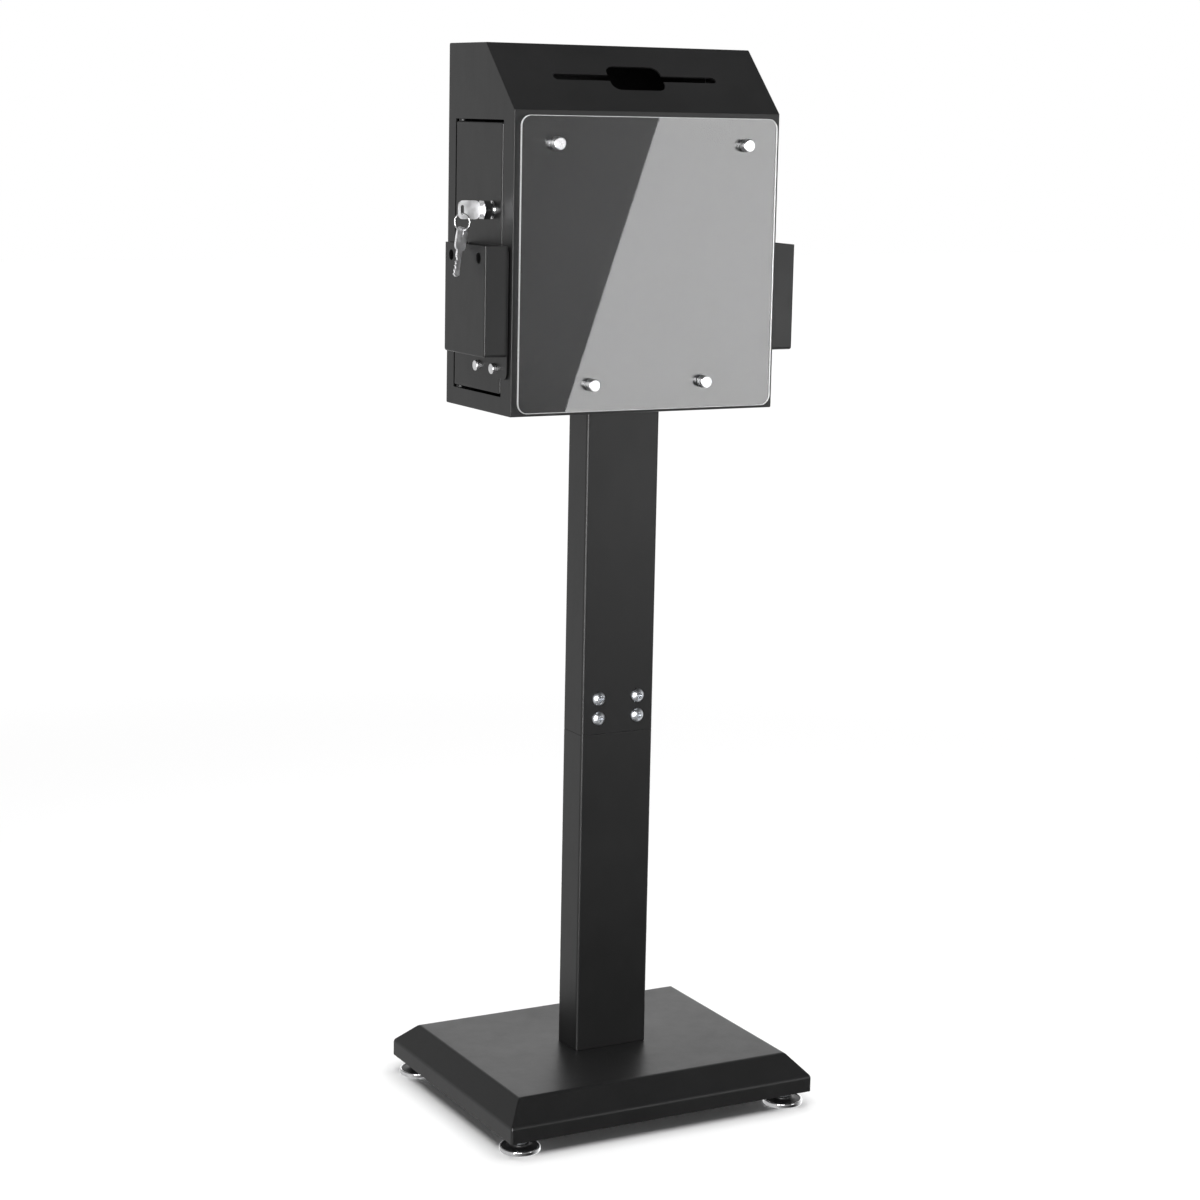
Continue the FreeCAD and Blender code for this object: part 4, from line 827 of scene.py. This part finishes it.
class BOX_OT_stage(bpy.types.Operator):
    """Set the plain floor, the soft lights, the surroundings and the camera"""
    bl_idname = "collection_box.stage"
    bl_label = "Stage"
    bl_options = {"REGISTER", "UNDO"}
    REACH = 14.0                # half the floor's width
    FADE = (0.35, 2.2)          # the floor turns white between these distances
    CAMERA_PLACE = (-1.2586, -2.3110, 0.9876)
    CAMERA_TURN = (79.6893, -1.1223, -28.1441)
    CAMERA_LENS = 80.82
    # name, place, turn in degrees, size, power in watts, what it can't be seen by
    LIGHTS = (
        ("ceiling_light", (0.1, -0.2, 2.6), (0, 0, 0), (3.4, 3.4), 120,
         ("glossy", "transmission")),
        ("sign_strip_light", (1.4139, -2.1134, 0.665), (93.359, 16.776, 29.446), (0.6, 1.0), 7.7,
         ("diffuse",)),
        ("edge_fill_light", (-1.62, -2.98, 1.25), (88, 0, -28.4), (1.4, 1.8), 48, ("diffuse",)),
        ("bend_light", (-1.76, -1.48, 0.75), (90, 0, -50), (0.35, 1.9), 55, ("diffuse",)),
    )

    def execute(self, context):
        scene = context.scene
        scene.view_settings.view_transform = "Standard"
        self.floor(scene)
        self.surroundings(scene)
        self.lights(scene)
        self.camera(scene)
        return {"FINISHED"}

    def floor(self, scene):
        """A floor that catches the shadow and turns into plain white further out."""
        reach = self.REACH
        mesh = bpy.data.meshes.new("studio_floor")
        mesh.from_pydata([(-reach, -reach, 0), (reach, -reach, 0), (reach, reach, 0),
                          (-reach, reach, 0)], [], [(0, 1, 2, 3)])
        floor = bpy.data.objects.new("studio_floor", mesh)
        scene.collection.objects.link(floor)
        material = bpy.data.materials.new("studio_floor_finish")
        mix = Recipe(material)
        cloud = mix.noise(3, 2.0)
        colour = scene.box_colours.floor
        own = mix.node("ShaderNodeTexCoord", output="Object")
        away = mix.node("ShaderNodeVectorMath", {"operation": "LENGTH"}, [own], "Value")
        far = away.held(*self.FADE)
        near = mix.blend(cloud, shade(colour, 0.985), shade(colour, 1.0))
        mix.surface({
            "Base Color": mix.blend(far, near, (0.02, 0.02, 0.02, 1)),
            "Emission Color": mix.blend(far, (0, 0, 0, 1), (1, 1, 1, 1)),
            "Emission Strength": 1.0,
            "Roughness": 0.75 + cloud * 0.1,
            "Specular IOR Level": 0.1,
        })
        mesh.materials.append(material)
        floor.visible_glossy = floor.visible_transmission = False

    def surroundings(self, scene):
        """White to the camera. The object mirrors it as a band that fades upwards, weak in front
        and brighter behind and to the right."""
        world = bpy.data.worlds.new("studio_surround")
        scene.world = world
        mix = Recipe(world)
        way = mix.node("ShaderNodeTexCoord", output="Generated")
        east, north, height = (mix.node("ShaderNodeSeparateXYZ", values=[way], output=axis)
                               for axis in range(3))
        above = 1 - height.held(0.1, 0.8)
        below = (height + 0.42).held(0.0, 0.42)
        facing = (east * 0.48 - north * 0.88).held(-0.2, 0.9)
        front = above * below * below * 0.29
        rear = above * (0.60 + east.held(-0.1, 0.4) * 1.3)
        glow = front * facing + rear * (1 - facing) + 0.03
        seen = mix.node("ShaderNodeLightPath", output="Is Camera Ray")
        strength = seen + glow * (1 - seen)
        shader = mix.node("ShaderNodeBackground",
                          values={"Color": (1, 1, 1, 1), "Strength": strength})
        mix.node("ShaderNodeOutputWorld", values={"Surface": shader})

    def lights(self, scene):
        """A ceiling light for floor and shadow, a strip that the sign mirrors, a fill for rounded
        metal and a narrow light that draws the bends."""
        for name, place, turn, size, power, hidden in self.LIGHTS:
            lamp = bpy.data.lights.new(name, "AREA")
            lamp.shape = "RECTANGLE"
            lamp.size, lamp.size_y = size
            lamp.energy = power
            thing = self.placed(scene, name, lamp, place, turn)
            for kind in ("camera", *hidden):
                setattr(thing, f"visible_{kind}", False)

    def camera(self, scene):
        lens = bpy.data.cameras.new("camera")
        lens.sensor_width = 36.0
        lens.lens = self.CAMERA_LENS
        lens.clip_end = 100.0
        scene.camera = self.placed(scene, "camera", lens, self.CAMERA_PLACE, self.CAMERA_TURN)

    @staticmethod
    def placed(scene, name, data, place, turn):
        thing = bpy.data.objects.new(name, data)
        thing.location = place
        thing.rotation_euler = Euler([math.radians(angle) for angle in turn])
        scene.collection.objects.link(thing)
        return thing


class BOX_PT_panel(bpy.types.Panel):
    """Sizes, colours and one button for each group of pieces"""
    bl_idname = "BOX_PT_panel"
    bl_label = "Collection box"
    bl_space_type = "VIEW_3D"
    bl_region_type = "UI"
    bl_category = "Collection box"

    def draw(self, context):
        layout = self.layout
        for group in (context.scene.box_sizes, context.scene.box_colours):
            column = layout.column()
            for name in group.__annotations__:
                column.prop(group, name)
        for step in STEPS:
            layout.operator(step.bl_idname)


STEPS = (BOX_OT_shell, BOX_OT_door, BOX_OT_pockets, BOX_OT_pole, BOX_OT_base, BOX_OT_feet,
         BOX_OT_sign, BOX_OT_fittings, BOX_OT_stage)
CLASSES = (BoxSizes, BoxColours, *STEPS, BOX_PT_panel)


def register():
    for kind in CLASSES:
        bpy.utils.register_class(kind)
    bpy.types.Scene.box_sizes = PointerProperty(type=BoxSizes)
    bpy.types.Scene.box_colours = PointerProperty(type=BoxColours)


def unregister():
    del bpy.types.Scene.box_colours
    del bpy.types.Scene.box_sizes
    for kind in reversed(CLASSES):
        bpy.utils.unregister_class(kind)


def main():
    register()
    for step in STEPS:
        area, name = step.bl_idname.split(".")
        getattr(getattr(bpy.ops, area), name)()


if __name__ == "__main__":
    main()
